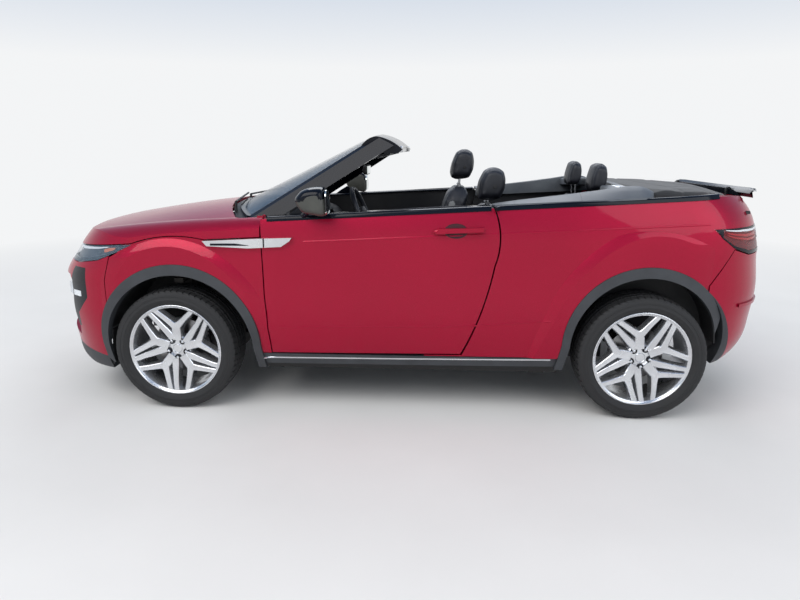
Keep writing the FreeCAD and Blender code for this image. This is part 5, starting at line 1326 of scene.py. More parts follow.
def add_side_strips():
    """The fine bright line along the sill, and the dark inset of the wing's vent."""
    for name, side in DOORS.items():
        line = Shape(band(["cladding"], side, front_axle_x + 0.52, rear_axle_x - 0.50,
                                lambda x: 0.318 + 0.010 * (x + 0.8), lambda x: 0.326 + 0.010 * (x + 0.8),
                                0.0015))
        piece("sill_line_" + name, line, "car", bright_trim, 60.0)
        inset = Shape(band(["wing_vents"], side, front_axle_x + 0.262, door_front_x - 0.075,
                                 lambda x: 0.9795 + 0.004 * (x + 1.0),
                                 lambda x: 0.9915 + 0.010 * (x + 1.05) - 0.012 * max(0.0,
                                     (x + 0.92) / 0.08), 0.0012, 16))
        piece("vent_inset_" + name, inset, "car", black_gloss, 60.0)


# Door mirrors
mirror_x = -0.569
mirror_y = side_y - 0.034
mirror_z = 1.148


def add_mirror_shell(name, side):
    """The housing: one outline that narrows outwards, with a plain base under its painted cap."""
    x, y0, z = mirror_x, mirror_y, mirror_z
    outline = [
        (x - 0.003, z + 0.088), (x + 0.014, z + 0.116), (x + 0.040, z + 0.138), (x + 0.088, z + 0.152),
        (x + 0.138, z + 0.154),
        (x + 0.158, z + 0.140), (x + 0.168, z + 0.098), (x + 0.172, z + 0.050), (x + 0.168, z + 0.016),
        (x + 0.148, z + 0.000),
        (x + 0.090, z + 0.008), (x + 0.040, z + 0.020), (x + 0.012, z + 0.048),
    ]
    smooth_outline = spline([Vector(p) for p in outline], 4, closed=True)
    centre = Vector((x + 0.100, z + 0.080))
    rings = []
    for t, scale in ((0.0, 0.80), (0.03, 0.93), (0.10, 0.985), (0.25, 1.0), (0.45, 0.995), (0.62, 0.97),
                     (0.76, 0.92),
                     (0.87, 0.84), (0.94, 0.74), (0.985, 0.60), (1.0, 0.46)):
        y = side * (y0 + 0.145 * t)
        rings.append([
            Vector((centre.x + (p.x - centre.x) * scale + 0.010 * (1 - scale), y,
                    centre.y + (p.y - centre.y) * scale))
            for p in smooth_outline
        ])
    head = piece("mirror_shell_" + name, Shape(loft(rings)), "door_" + name, black_gloss, 60.0)
    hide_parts("mirror_" + name)
    split = lambda c: c.z < z + 0.078 + 0.02 * (c.x - x) / 0.17
    second_finish(head, mirror_base, split)


def add_mirror_glass(name, side):
    """The silvered glass in its black rim, which faces the rear."""
    x, y0, z = mirror_x, mirror_y, mirror_z
    glass_shape = Shape()
    ring_points = [
        (0.018, 0.020), (0.060, 0.012), (0.115, 0.018), (0.130, 0.045), (0.126, 0.110), (0.100, 0.136),
        (0.050, 0.138),
        (0.020, 0.110), (0.012, 0.060),
    ]
    rim = spline([Vector(p) for p in ring_points], 4, closed=True)
    rings = []
    for dx, shrink in ((-0.004, 1.0), (0.0015, 1.0), (0.003, 0.965), (0.0015, 0.94), (0.0008, 0.6),
                       (0.0006, 0.05)):
        ring = []
        for p in rim:
            a = 0.070 + (p.x - 0.070) * shrink
            b = 0.076 + (p.y - 0.076) * shrink
            ring.append(Vector((x + 0.1715 + dx - 0.10 * abs(b - 0.06) ** 1.5, side * (y0 + a), z + b)))
        rings.append(ring)
    glass_shape.add(loft(rings))
    plate = piece("mirror_glass_" + name, glass_shape, "door_" + name, mirror_silver, 50.0)
    second_finish(plate, black_plastic, lambda c: abs(c.y) > y0 + 0.126 or abs(c.y) < y0 + 0.016)


def add_mirror_foot(name, side):
    """The arm from the door, and the black corner plate that it stands on."""
    x, y0, z = mirror_x, mirror_y, mirror_z
    foot = Shape()
    foot.add(sweep(
        spline([(x - 0.010, side * (side_y - 0.100), z - 0.030),
                (x + 0.015, side * (side_y - 0.060), z - 0.008),
                (x + 0.050, side * (y0 + 0.010), z + 0.020),
                (x + 0.072, side * (y0 + 0.045), z + 0.036)], 5),
        round_section(0.022, 14, 0.75), up=(1.0, 0.0, 0.0),
    ))
    corner = [(x - 0.094, 1.123), (x + 0.090, 1.133), (x + 0.061, 1.179), (x + 0.024, 1.202),
              (x - 0.030, 1.170)]
    foot.add(slab(corner, side * (side_y - 0.120), side * (side_y - 0.1075), 0.003))
    piece("mirror_foot_" + name, foot, "door_" + name, black_gloss, 45.0)


def add_mirrors():
    for name, side in DOORS.items():
        add_mirror_shell(name, side)
        add_mirror_glass(name, side)
        add_mirror_foot(name, side)


# Cabin
dash_face_x = bulkhead_x + 0.366


def add_centre_screen():
    """The screen in its frame; the dashboard and the console get softer edges."""
    soften(nodes["dashboard"], 0.010, 3)
    soften(nodes["centre_console"], 0.008, 3)
    face = dash_face_x
    shape = Shape(rounded_box((face - 0.010, -0.135, 0.885), (face + 0.006, 0.135, 1.000), 0.006))
    piece("centre_screen_frame", shape, "car", black_gloss, 40.0)
    shape = Shape(rounded_box((face - 0.006, -0.116, 0.900), (face + 0.0075, 0.116, 0.988), 0.002))
    piece("centre_screen", shape, "car", screen_black, 40.0)


def add_dash_vents():
    """Four vents with slats and a slider, in frames."""
    face = dash_face_x
    vents_shape = Shape()
    frames = Shape()
    for y, half in ((-0.615, 0.062), (-0.185, 0.040), (0.185, 0.040), (0.615, 0.062)):
        frames.add(rounded_box((face - 0.020, y - half - 0.008, 0.912),
                               (face + 0.002, y + half + 0.008, 0.992), 0.010))
        for n in range(5):
            z = 0.925 + 0.0125 * n
            vents_shape.add(rounded_box((face - 0.004, y - half, z),
                                        (face + 0.006, y + half, z + 0.0035), 0.0015))
        vents_shape.add(rounded_box((face, y - 0.007, 0.940), (face + 0.011, y + 0.007, 0.962), 0.003))
    piece("dash_vent_frames", frames, "car", black_plastic, 40.0)
    piece("dash_vent_slats", vents_shape, "car", bright_trim, 40.0)


def add_dash_trim():
    """The bright strips, and the lid of the glovebox."""
    x, face = bulkhead_x, dash_face_x
    strip = Shape()
    strip.add(rounded_box((face - 0.024, 0.235, 0.885), (face + 0.001, 0.690, 0.899), 0.003))
    strip.add(rounded_box((face - 0.024, -0.700, 0.885), (face + 0.001, -0.560, 0.899), 0.003))
    piece("dash_bright_strip", strip, "car", bright_trim, 40.0)
    glove = Shape(slab([(x + 0.312, 0.745), (x + 0.349, 0.870), (x + 0.338, 0.870), (x + 0.300, 0.745)],
                       0.240, 0.660, 0.004))
    piece("glovebox_lid", glove, "car", black_plastic, 40.0)


def add_instruments():
    """Two dials with their marks and needles, under a hood."""
    x = bulkhead_x
    cluster = Shape()
    cx, cy, cz = x + 0.372, -0.365, 1.052
    for offset in (-0.052, 0.052):
        dial = Shape(lathe([(0.0, -0.004), (0.038, -0.004), (0.044, 0.006), (0.047, 0.006),
                            (0.047, -0.010), (0.0, -0.010)], 36))
        cluster.add(dial.placed(Matrix.Translation((cx, cy + offset, cz)) @ Matrix.Rotation(-math.pi / 2,
                                                                                            4, "Z")))
    piece("instrument_dials", cluster, "car", screen_black, 40.0)
    marks = Shape()
    for offset in (-0.052, 0.052):
        for n in range(11):
            angle = math.radians(-130 + 26 * n)
            inner_r, outer_r = 0.027, 0.035
            a = Vector((cx + 0.0085, cy + offset + inner_r * math.sin(angle),
                        cz + inner_r * math.cos(angle)))
            b = Vector((cx + 0.0085, cy + offset + outer_r * math.sin(angle),
                        cz + outer_r * math.cos(angle)))
            marks.add(sweep([a, b], round_section(0.0007, 6), up=(1.0, 0.0, 0.0)))
        marks.add(sweep([Vector((cx + 0.0095, cy + offset, cz)),
                         Vector((cx + 0.0095, cy + offset - 0.018, cz + 0.020))],
                        round_section(0.0010, 6), up=(1.0, 0.0, 0.0)))
    piece("instrument_marks", marks, "car", bright_trim)
    hood = Shape()
    rings = []
    for n in range(13):
        angle = math.pi * n / 12
        y = cy + 0.122 * math.cos(angle)
        z = cz - 0.012 + 0.084 * math.sin(angle) ** 0.7
        rings.append([Vector((x + 0.215, y, z)), Vector((x + 0.452, y, z)),
                      Vector((x + 0.457, y, z + 0.006)),
                      Vector((x + 0.452, y, z + 0.011)), Vector((x + 0.215, y, z + 0.008))])
    hood.add(loft(rings))
    piece("instrument_hood", hood, "car", black_plastic, 50.0)


def add_console():
    """The console's plate, cup rings, gear dial and armrest."""
    cx = front_axle_x
    console = Shape(rounded_box((cx + 0.690, -0.070, 0.632), (cx + 1.020, 0.070, 0.6445), 0.004))
    piece("console_plate", console, "car", black_gloss, 40.0)
    cups = Shape()
    for px in (cx + 1.060, cx + 1.155):
        ring = Shape(lathe([(0.036, -0.004), (0.041, -0.004), (0.0415, 0.003), (0.038, 0.005),
                            (0.036, 0.002)], 40))
        cups.add(ring.placed(standing(px, 0.0, 0.641)))
    dial = Shape(lathe([(0.0, 0.024), (0.022, 0.024), (0.0255, 0.021), (0.027, 0.0), (0.0, 0.0)], 40))
    cups.add(dial.placed(standing(cx + 0.870, 0.0, 0.6685)))
    piece("console_rings", cups, "car", bright_trim, 40.0)
    rest = Shape(rounded_box((rear_axle_x - 0.385 - 0.520, -0.092, 0.612),
                             (rear_axle_x - 0.385 - 0.262, 0.092, 0.652), 0.018))
    for p in rest.points:
        p.z -= 0.016 + 0.20 * (p.x - (rear_axle_x - 0.905))
    piece("console_armrest", rest, "car", seat_leather, 50.0)


def add_pedals():
    """Pedal plates on their arms; each row is place across, half width and height."""
    x = bulkhead_x
    pedals = Shape()
    for y, wide, tall in ((-0.300, 0.030, 0.060), (-0.420, 0.024, 0.095)):
        pedals.add(slab([(x + 0.088, 0.330), (x + 0.100, 0.330), (x + 0.072, 0.330 + tall),
                         (x + 0.060, 0.330 + tall)],
                        y - wide, y + wide, 0.003))
        pedals.add(sweep([(x + 0.076, y, 0.330 + tall / 2), (x + 0.040, y, 0.420),
                          (x - 0.010, y, 0.560)], round_section(0.008, 8)))
    piece("pedals", pedals, "car", chassis_iron, 40.0)


# The steering wheel is drawn upright about its hub, and then leaned to the driver
wheel_rake = math.radians(23.0)
wheel_place = Matrix.Translation((front_axle_x + 1.046, -0.360, 1.097)) @ Matrix.Rotation(-wheel_rake, 4,
                                                                                          "Y")


def add_steering_rim():
    """A ring with thicker grips at four places."""
    radius = 0.170
    rings = []
    for n in range(96):
        angle = 2 * math.pi * n / 96
        thick = 0.0138 + 0.0012 * max(0.0, math.cos(4 * angle + math.pi))
        centre = Vector((0.0, radius * math.sin(angle), radius * math.cos(angle)))
        out = centre.normalized()
        rings.append([
            centre + Vector((thick * 1.05 * math.sin(2 * math.pi * k / 14), 0.0,
                             0.0)) + out * (thick * math.cos(2 * math.pi * k / 14))
            for k in range(14)
        ])
    rim = Shape(loft(rings, closed=True)).placed(wheel_place)
    made = piece("steering_rim", rim, "steering_wheel", seat_leather, 60.0)
    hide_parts("steering_wheel")


def add_steering_boss():
    """The cushioned middle, a rounded block that narrows towards the driver."""
    rings = []
    for px, scale in ((-0.028, 0.92), (-0.020, 1.0), (0.006, 1.0), (0.016, 0.93), (0.021, 0.72),
                      (0.023, 0.30)):
        ring = []
        for n in range(40):
            angle = 2 * math.pi * n / 40
            wide, tall = 0.080, 0.060 if math.cos(angle) < 0 else 0.050
            power = 0.72
            s, c = math.sin(angle), math.cos(angle)
            ring.append(Vector((px, wide * scale * math.copysign(abs(s) ** power, s),
                                tall * scale * math.copysign(abs(c) ** power, c))))
        rings.append(ring)
    piece("steering_boss", Shape(loft(rings)).placed(wheel_place), "steering_wheel", black_plastic, 50.0)


def add_steering_spokes():
    """One spoke to each side and two downwards; a path's points are (out, up, width)."""
    arms = Shape()
    for side in (-1, 1):
        run = spline([(0.068, -0.004, 0.034), (0.110, -0.002, 0.030), (0.160, 0.0, 0.024)], 5)
        rings = []
        for p in run:
            half = p.z / 2
            rings.append([Vector((a, side * p.x, p.y + b)) for a, b in (
                (-0.012, -half), (0.004, -half), (0.010, -half + 0.006), (0.010, half - 0.006),
                (0.004, half), (-0.012, half))])
        arms.add(loft(rings))
    for side in (-1, 1):
        run = spline([(0.026, -0.050, 0.018), (0.030, -0.100, 0.015), (0.022, -0.160, 0.013)], 5)
        rings = []
        for p in run:
            half = p.z / 2
            rings.append([Vector((a, side * p.x + b, p.y)) for a, b in (
                (-0.010, -half), (0.004, -half), (0.009, -half + 0.004), (0.009, half - 0.004),
                (0.004, half), (-0.010, half))])
        arms.add(loft(rings))
    piece("steering_spokes", arms.placed(wheel_place), "steering_wheel", bright_trim, 40.0)


def add_steering_controls():
    """Buttons on the spokes, and the shaft behind the hub."""
    buttons = Shape()
    for side in (-1, 1):
        for row in (-0.008, 0.008):
            buttons.add(rounded_box((0.006, side * 0.094 - 0.009, row - 0.007),
                                    (0.0135, side * 0.094 + 0.009, row + 0.005), 0.002))
    piece("steering_buttons", buttons.placed(wheel_place), "steering_wheel", black_gloss, 40.0)
    shaft = Shape(sweep([(-0.026, 0, 0), (-0.057, 0, 0)], round_section(0.0098, 20), up=(0.0, 0.0, 1.0)))
    piece("steering_shaft", shaft.placed(wheel_place), "steering_wheel", chassis_iron, 40.0)


# Rear deck and folded top
def add_deck_stops():
    """The two round rubber stops that the boot lid rests on."""
    knob_x, knob_y = 1.905, 0.700
    knobs = Shape()
    for side in (-1, 1):
        ring = Shape(lathe([(0.0, 0.016), (0.011, 0.016), (0.014, 0.012), (0.0155, 0.0), (0.0, 0.0)], 28))
        z = top_of(["quarter_panels", "soft_top_stowed", "boot_lid"], knob_x, side * knob_y) or 1.235
        knobs.add(ring.placed(standing(knob_x, side * knob_y, z)))
    piece("deck_stops", knobs, "car", black_plastic, 40.0)


sheet_steps = (60, 96)
fold_radius = 0.0062


def soft_top_rows(x0, x1):
    """Crosswise rows of points of the cover, with its seams, waves and drooping rims."""
    count_x, count_y = sheet_steps
    rows = []
    for i in range(count_x + 1):
        x = x0 + (x1 - x0) * i / count_x
        half = 0.0
        for n in range(60):
            y = 0.62 + 0.2 * n / 60
            z = top_of(["soft_top_stowed"], x, y)
            if z is not None and z > 1.15:
                half = y
        half -= 0.004
        row = []
        for j in range(count_y + 1):
            y = half * (-1 + 2 * j / count_y)
            z = top_of(["soft_top_stowed"], x, y)
            z = (z if z is not None else 1.25) - 0.0035
            share = (x - x0) / (x1 - x0)
            z -= 0.0042 * gauss(share - 0.36, 0.014) + 0.0042 * gauss(share - 0.66, 0.014)
            z -= 0.0030 * gauss(abs(y) - 0.40, 0.010) * (1.0 if share > 0.36 else 0.3)
            z += 0.0012 * math.sin(23.0 * x + 9.0 * y) * math.sin(14.0 * y - 5.0 * x)
            z -= 0.010 * gauss(abs(y) - half, 0.016) + 0.012 * gauss(share,
                0.03) + 0.010 * gauss(share - 1.0, 0.03)
            row.append(Vector((x, y, z)))
        rows.append(row)
    return rows


def add_soft_top_cover(rows):
    """One sheet laid over the folded frame."""
    count_x, count_y = sheet_steps
    shape = Shape()
    points = [p for row in rows for p in row]
    wide = count_y + 1
    faces = [(i * wide + j, (i + 1) * wide + j, (i + 1) * wide + j + 1, i * wide + j + 1)
             for i in range(count_x) for j in range(count_y)]
    shape.add((points, faces))
    cover = piece("soft_top_cover", shape, "car", roof_cloth, 60.0)
    thick = cover.modifiers.new("cloth", "SOLIDIFY")
    thick.thickness = 0.003
    thick.offset = -1.0
    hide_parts("soft_top_stowed")


def add_soft_top_stack(rows, x0, x1):
    """The dark body of the stack below the cover."""
    count_x = sheet_steps[0]
    rings = []
    for share in [n / 24 for n in range(25)]:
        x = x0 + 0.012 + (x1 - x0 - 0.024) * share
        row = rows[min(count_x, int(share * count_x))]
        half = abs(row[0].y) - 0.006
        z = row[0].z
        rings.append([Vector((x, -half, 1.104)), Vector((x, half, 1.104)), Vector((x, half, z - 0.012)),
                      Vector((x, half * 0.6, z + 0.010)),
                      Vector((x, 0.0, z + 0.014)), Vector((x, -half * 0.6, z + 0.010)),
                      Vector((x, -half, z - 0.012))])
    made = piece("soft_top_stack", Shape(loft(rings)), "car", black_plastic, 60.0)
    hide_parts("soft_top_stowed")


def add_soft_top_folds(rows):
    """The edges of the folds, one below the other, along both flanks and the front."""
    wide = sheet_steps[1] + 1
    edges = Shape()
    for drop in (0.014, 0.028, 0.042):
        for side in (0, -1):
            path = [Vector((row[side].x, row[side].y + math.copysign(0.0015, row[side].y),
                            row[side].z - drop)) for row in rows[2:-2:3]]
            edges.add(sweep(path, round_section(fold_radius, 8)))
        front = [Vector((rows[1][j].x - 0.001, rows[1][j].y, rows[1][j].z - drop))
                 for j in range(4, wide - 4, 6)]
        edges.add(sweep(front, round_section(fold_radius, 8)))
    piece("soft_top_folds", edges, "car", roof_cloth, 60.0)


def add_soft_top():
    """The folded top: a cover over the stack, with the folds' edges showing."""
    low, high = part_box("soft_top_stowed")
    x0, x1 = low.x + 0.004, high.x - 0.004
    rows = soft_top_rows(x0, x1)
    add_soft_top_cover(rows)
    add_soft_top_stack(rows, x0, x1)
    add_soft_top_folds(rows)


# Lamps
def lamp_ring(name, centre, angle):
    """The lamp's outer skin seen from a centre line: lowest and highest hit with their points."""
    direction = Vector((math.cos(angle), math.sin(angle), 0.0))
    hits = []
    for n in range(int(0.30 / 0.002)):
        z = centre.z - 0.15 + 0.002 * n
        start = Vector((centre.x, centre.y, z)) + 2.0 * direction
        hit = skin_of(name).ray_cast(start, -direction, 2.0)[0]
        if hit is not None and (hit - start).length < 1.995:
            hits.append(hit)
    return direction, hits


def lamp_band(name, centre, angles, low, high, depth, thick, taper=0.0):
    """A curved strip behind a lamp's lens: low and high are shares of the lens height."""
    rings = []
    total = len(angles) - 1
    for n, angle in enumerate(angles):
        direction, hits = lamp_ring(name, centre, angle)
        if len(hits) < 6:
            continue
        ends = 1.0 - taper * abs(2 * n / total - 1.0) ** 3
        middle = 0.5 * (low + high)
        ring = []
        for share in (0.0, 0.25, 0.5, 0.75, 1.0):
            place = (middle + (low + share * (high - low) - middle) * ends) * (len(hits) - 1)
            index = min(len(hits) - 2, max(0, int(place)))
            hit = hits[index].lerp(hits[index + 1], place - index)
            ring.append(hit - depth * direction)
        ring += [p - thick * direction for p in reversed(ring)]
        rings.append(ring)
    return loft(rings)


def fan(start, end, count):
    """Angles in radians between two in degrees."""
    return [math.radians(start + (end - start) * n / count) for n in range(count + 1)]


def mirrored_shape(shape):
    points = [Vector((p.x, -p.y, p.z)) for p in shape.points]
    return Shape((points, [tuple(reversed(face)) for face in shape.faces]))


def lamp_piece(name, shape, material, sharp=45.0):
    """A piece of the left lamp and its mirror image on the right."""
    return piece(name, Shape(shape, mirrored_shape(shape)), "car", material, sharp)


def add_headlamps():
    """What shows behind the head lamps' lenses."""
    centre = Vector((-1.560, 0.420, 0.910))
    angles = fan(174, 96, 44)
    lamp_piece("headlamp_backing", Shape(lamp_band("headlamps", centre, angles, 0.03, 0.97, 0.020, 0.004)),
               lamp_dark)
    lamp_piece("headlamp_lower_trim",
               Shape(lamp_band("headlamps", centre, angles, 0.02, 0.20, 0.003, 0.010, 0.2)),
               black_gloss)
    lamp_piece("headlamp_light_bar",
               Shape(lamp_band("headlamps", centre, fan(170, 104, 36), 0.72, 0.86, 0.006, 0.010, 0.5)),
               lamp_clear)
    lamp_piece("headlamp_marker",
               Shape(lamp_band("headlamps", centre, fan(107, 98, 10), 0.36, 0.70, 0.004, 0.010, 0.4)),
               lamp_amber)
    lenses = Shape()
    bezels = Shape()
    for angle, share in ((160, 0.46), (144, 0.46)):
        direction, hits = lamp_ring("headlamps", centre, math.radians(angle))
        if len(hits) < 6:
            continue
        middle = hits[int(share * (len(hits) - 1))]
        turn = direction.to_track_quat("-Y", "Z").to_matrix().to_4x4()
        place = Matrix.Translation(middle - 0.034 * direction) @ turn
        size = 0.0145
        ring = Shape(lathe([(size, -0.004), (size + 0.004, -0.008), (size + 0.006, -0.004),
                            (size + 0.006, 0.012), (size, 0.012)], 32))
        ring = ring.placed(place)
        bezels.add(ring)
        dome = Shape(lathe([(0.0, -0.008), (size * 0.5, -0.0065), (size * 0.85, -0.0035), (size, 0.0),
                            (size, 0.006), (0.0, 0.006)], 32))
        dome = dome.placed(place)
        lenses.add(dome)
    lamp_piece("headlamp_bezels", bezels, bright_trim)
    lamp_piece("headlamp_lenses", lenses, screen_black, 60.0)


def add_tail_lamps():
    """Surrounds, light bars and backing of the tail lamps."""
    centre = Vector((1.700, 0.420, 1.020))
    angles = fan(4, 96, 56)
    wide = lambda low, high, depth, thick, taper=0.0: Shape(
        lamp_band("tail_lamps", centre, angles, low, high, depth, thick, taper))
    frame_lines = wide(0.0, 0.13, -0.0022, 0.003)
    frame_lines.add(lamp_band("tail_lamps", centre, angles, 0.93, 1.0, -0.0022, 0.003))
    frame_lines.add(lamp_band("tail_lamps", centre, fan(88, 97, 6), 0.0, 1.0, -0.0022, 0.003))
    lamp_piece("tail_lamp_surround", frame_lines, black_gloss)
    lamp_piece("tail_lamp_backing", wide(0.05, 0.95, 0.022, 0.004), lamp_dark)
    lamp_piece("tail_lamp_lower", wide(0.13, 0.44, 0.003, 0.012), lamp_dark)
    lamp_piece("tail_lamp_bright_line", Shape(
        lamp_band("tail_lamps", centre, fan(8, 86, 48), 0.84, 0.92, -0.0012, 0.006, 0.3)), lamp_clear)
    bars = Shape()
    for low, high in ((0.50, 0.58), (0.64, 0.74)):
        bars.add(lamp_band("tail_lamps", centre, fan(8, 84, 48), low, high, 0.006, 0.010, 0.3))
    lamp_piece("tail_lamp_bars", bars, lamp_red)


def add_fittings():
    """Small parts on the windscreen frame: roof latches and sun visors."""
    latches = Shape()
    visors = Shape()
    for side in (-1, 1):
        z = top_of(["windscreen_frame"], -0.040, side * 0.50) or 1.49
        latches.add(rounded_box((-0.060, side * 0.50 - 0.020, z - 0.040),
                                (-0.022, side * 0.50 + 0.020, z - 0.004), 0.004))
        rings = []
        for y in stations(side * 0.12, side * 0.47, 8):
            edge = 1.0 if 0.14 < abs(y) < 0.45 else 0.6
            rings.append([Vector((-0.235, y, 1.432)), Vector((-0.232, y, 1.442)),
                          Vector((-0.120, y, 1.472 + 0.002 * edge)),
                          Vector((-0.100, y, 1.474)), Vector((-0.100, y, 1.464)),
                          Vector((-0.120, y, 1.460))])
        visors.add(loft(rings))
    piece("roof_latches", latches, "car", bright_trim, 40.0)
    piece("sun_visors", visors, "car", grey_plastic, 50.0)


def add_inner_mirror():
    """Housing, glass and stalk of the mirror behind the windscreen."""
    rings = []
    for y, scale in ((-0.118, 0.5), (-0.114, 0.86), (-0.100, 1.0), (0.100, 1.0), (0.114, 0.86),
                     (0.118, 0.5)):
        rings.append([
            Vector((-0.292 + a * scale, y, 1.360 + b * scale)) for a, b in (
                (0.010, -0.031), (0.014, -0.010), (0.014, 0.026), (0.008, 0.033), (-0.012, 0.026),
                (-0.020, 0.0), (-0.012, -0.026))
        ])
    piece("inner_mirror", Shape(loft(rings)), "car", black_plastic, 50.0)
    glass_face = Shape(rounded_box((-0.2790, -0.108, 1.335), (-0.2772, 0.108, 1.385), 0.0008))
    piece("inner_mirror_glass", glass_face, "car", mirror_silver)
    stalk = Shape(sweep([(-0.300, 0.0, 1.380), (-0.318, 0.0, 1.404), (-0.330, 0.0, 1.416)],
                        round_section(0.009, 12)))
    piece("inner_mirror_stalk", stalk, "car", black_plastic)


# Deck, spoiler and bumper
def crest_z(x):
    """Height of the deck's inner edge, which rises and bulges towards the rear."""
    rise = 0.040 * min(1.0, (x - 0.492) / 0.52) ** 0.8
    return belt_z(x) + 0.010 + rise + 0.022 * gauss(x - 1.24, 0.16)


def add_deck_surround():
    """The grey trim round the rear of the cabin, its flanks sloping down to the waist strips."""
    shape = Shape()
    x_end = rear_axle_x + 0.040
    for side in (-1, 1):
        rings = []
        for x in stations(0.494, x_end, 46):
            foot = belt_z(x) + 0.0125
            bend = max(0.0, (x - 1.262) / (x_end - 1.262))
            out = 0.712 + 0.142 * math.sqrt(max(0.0, 1.0 - bend * bend))
            top = foot + (crest_z(x) - foot) * (1.0 - 0.55 * bend ** 3)
            ring = [
                (out, foot - 0.006), (out - 0.002, foot + 0.004),
                (0.5 * (out + 0.712) + 0.012, foot + 0.60 * (top - foot) + 0.002),
                (0.730, top - 0.001), (0.718, top + 0.001), (0.708, top - 0.004), (0.706, top - 0.018),
                (0.706, foot - 0.060),
                (0.716, foot - 0.060), (0.716, foot - 0.010),
            ]
            rings.append([Vector((x, side * y, z)) for y, z in ring])
        shape.add(loft(rings))
    for y0, y1, front in ((-0.712, -0.484, 1.147), (-0.486, 0.486, 1.243), (0.484, 0.712, 1.147)):
        rings = []
        for y in stations(y0, y1, 24):
            drop = y * y / 18.0
            ring = [
                (front, 1.256), (front - 0.001, 1.288), (front + 0.003, 1.300), (front + 0.014, 1.3045),
                (1.262, 1.3050),
                (1.296, 1.2975), (1.318, 1.2860), (1.327, 1.2700), (1.322, 1.2420), (front + 0.040, 1.2500),
            ]
            rings.append([Vector((px, y, pz - drop)) for px, pz in ring])
        shape.add(loft(rings))
    deck = piece("deck_surround", shape, "car", deck_plastic, 38.0)
    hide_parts("deck_panel")


def add_deck_joints():
    """Dark joint lines across the flanks of the surround."""
    lines = Shape()
    for side in (-1, 1):
        for x in (0.530, 0.600, 0.960):
            foot = belt_z(x) + 0.0125
            top = crest_z(x)
            path = [Vector((x + 0.006 * k, side * y, z + 0.0012)) for k, (y, z) in enumerate((
                (0.853, foot + 0.002), (0.795, foot + 0.60 * (top - foot) + 0.001), (0.732, top - 0.001),
                (0.716, top + 0.0005)))]
            lines.add(sweep(path, round_section(0.0011, 6)))
    piece("deck_joints", lines, "car", black_plastic)


def add_deck_strips():
    """Bright strips on the cross piece, one on each side."""
    bright = Shape()
    for side in (-1, 1):
        rings = []
        for k in range(9):
            y = 0.500 + 0.150 * k / 8
            drop = y * y / 18.0
            lean = 0.10 * (y - 0.50)
            ring = [(1.205 + lean, 1.3052), (1.207 + lean, 1.3068), (1.262 + lean, 1.3066),
                    (1.292 + lean, 1.3000),
                    (1.294 + lean, 1.2984), (1.262 + lean, 1.3040)]
            rings.append([Vector((px, side * y, pz - drop)) for px, pz in ring])
        bright.add(loft(rings))
    piece("deck_bright_strips", bright, "car", bright_trim, 50.0)


def add_spoiler_body():
    """The thick body under the spoiler's blade, running back into the lid."""
    rings = []
    for y in stations(-0.600, 0.600, 48):
        found = [(x, top_of(["spoiler"], x, y)) for x in stations(1.985, 2.110, 50)]
        found = [(x, z) for x, z in found if z is not None]
        if len(found) < 8:
            continue
        (x0, z0), (xm, zm), (x1, z1) = found[0], found[len(found) // 2], found[-1]
        rings.append([Vector((px, y, pz)) for px, pz in (
            (x0 - 0.012, z0 - 0.016), (x0, z0 + 0.001), (xm, zm + 0.0015), (x1 - 0.006, z1 + 0.0012),
            (x1 + 0.001, z1 - 0.004),
            (x1 - 0.002, z1 - 0.013), (x1 - 0.030, z1 - 0.026), (x0 + 0.010, z0 - 0.040))])
    if len(rings) > 3:
        piece("spoiler_body", Shape(loft(rings)), "boot_lid", black_gloss, 40.0)


def add_fog_lamp_ends():
    """The ends of the front lamps, wrapped round the bumper's corners."""
    rings = []
    for y in stations(-0.812, -0.856, 10):
        hits = [
            skin_of("front_bumper").ray_cast(Vector((-2.6, y, z)), Vector((1.0, 0.0, 0.0)), 1.2)[0]
            for z in (0.660, 0.664, 0.676, 0.688, 0.692)
        ]
        if None in hits:
            continue
        ring = [hit + Vector((-0.0022, -0.0018, 0.0)) for hit in hits]
        rings.append(ring + [p + Vector((0.0030, 0.0022, 0.0)) for p in reversed(ring)])
    lamp_piece("fog_lamp_ends", Shape(loft(rings)), lamp_clear, 50.0)


def add_splash_guards():
    """The ends of the front arch liners, down to the valance."""
    guards = Shape()
    for side in (-1, 1):
        outline = [(-1.728, 0.250), (-1.722, 0.250), (-1.716, 0.360), (-1.706, 0.470), (-1.712, 0.470),
                   (-1.722, 0.360)]
        guards.add(slab(outline, side * 0.560, side * 0.868, 0.001))
    piece("front_splash_guards", guards, "car", black_plastic, 40.0)


add_wheels()
add_front_seats()
add_rear_seats()
add_seat_divider()
add_waist()
add_door_cards()
add_creases()
add_handles()
add_side_strips()
add_mirrors()
add_centre_screen()
add_dash_vents()
add_dash_trim()
add_instruments()
add_console()
add_pedals()
add_steering_rim()
add_steering_boss()
add_steering_spokes()
add_steering_controls()
add_deck_stops()
add_deck_surround()
add_deck_joints()
add_deck_strips()
add_soft_top()
add_headlamps()
add_tail_lamps()
add_fittings()
add_inner_mirror()
add_spoiler_body()
add_fog_lamp_ends()
add_splash_guards()


# Floor and light
horizon = (0.90, 0.91, 0.92)


def seen_through(tree):
    """One where a ray comes from the camera, a gloss or a transmission."""
    path = add_node(tree, "ShaderNodeLightPath")
    first = add_node(tree, "ShaderNodeMath", operation="MAXIMUM")
    second = add_node(tree, "ShaderNodeMath", operation="MAXIMUM")
    tree.links.new(path.outputs["Is Camera Ray"], first.inputs[0])
    tree.links.new(path.outputs["Is Glossy Ray"], first.inputs[1])
    tree.links.new(first.outputs[0], second.inputs[0])
    tree.links.new(path.outputs["Is Transmission Ray"], second.inputs[1])
    return second.outputs[0]


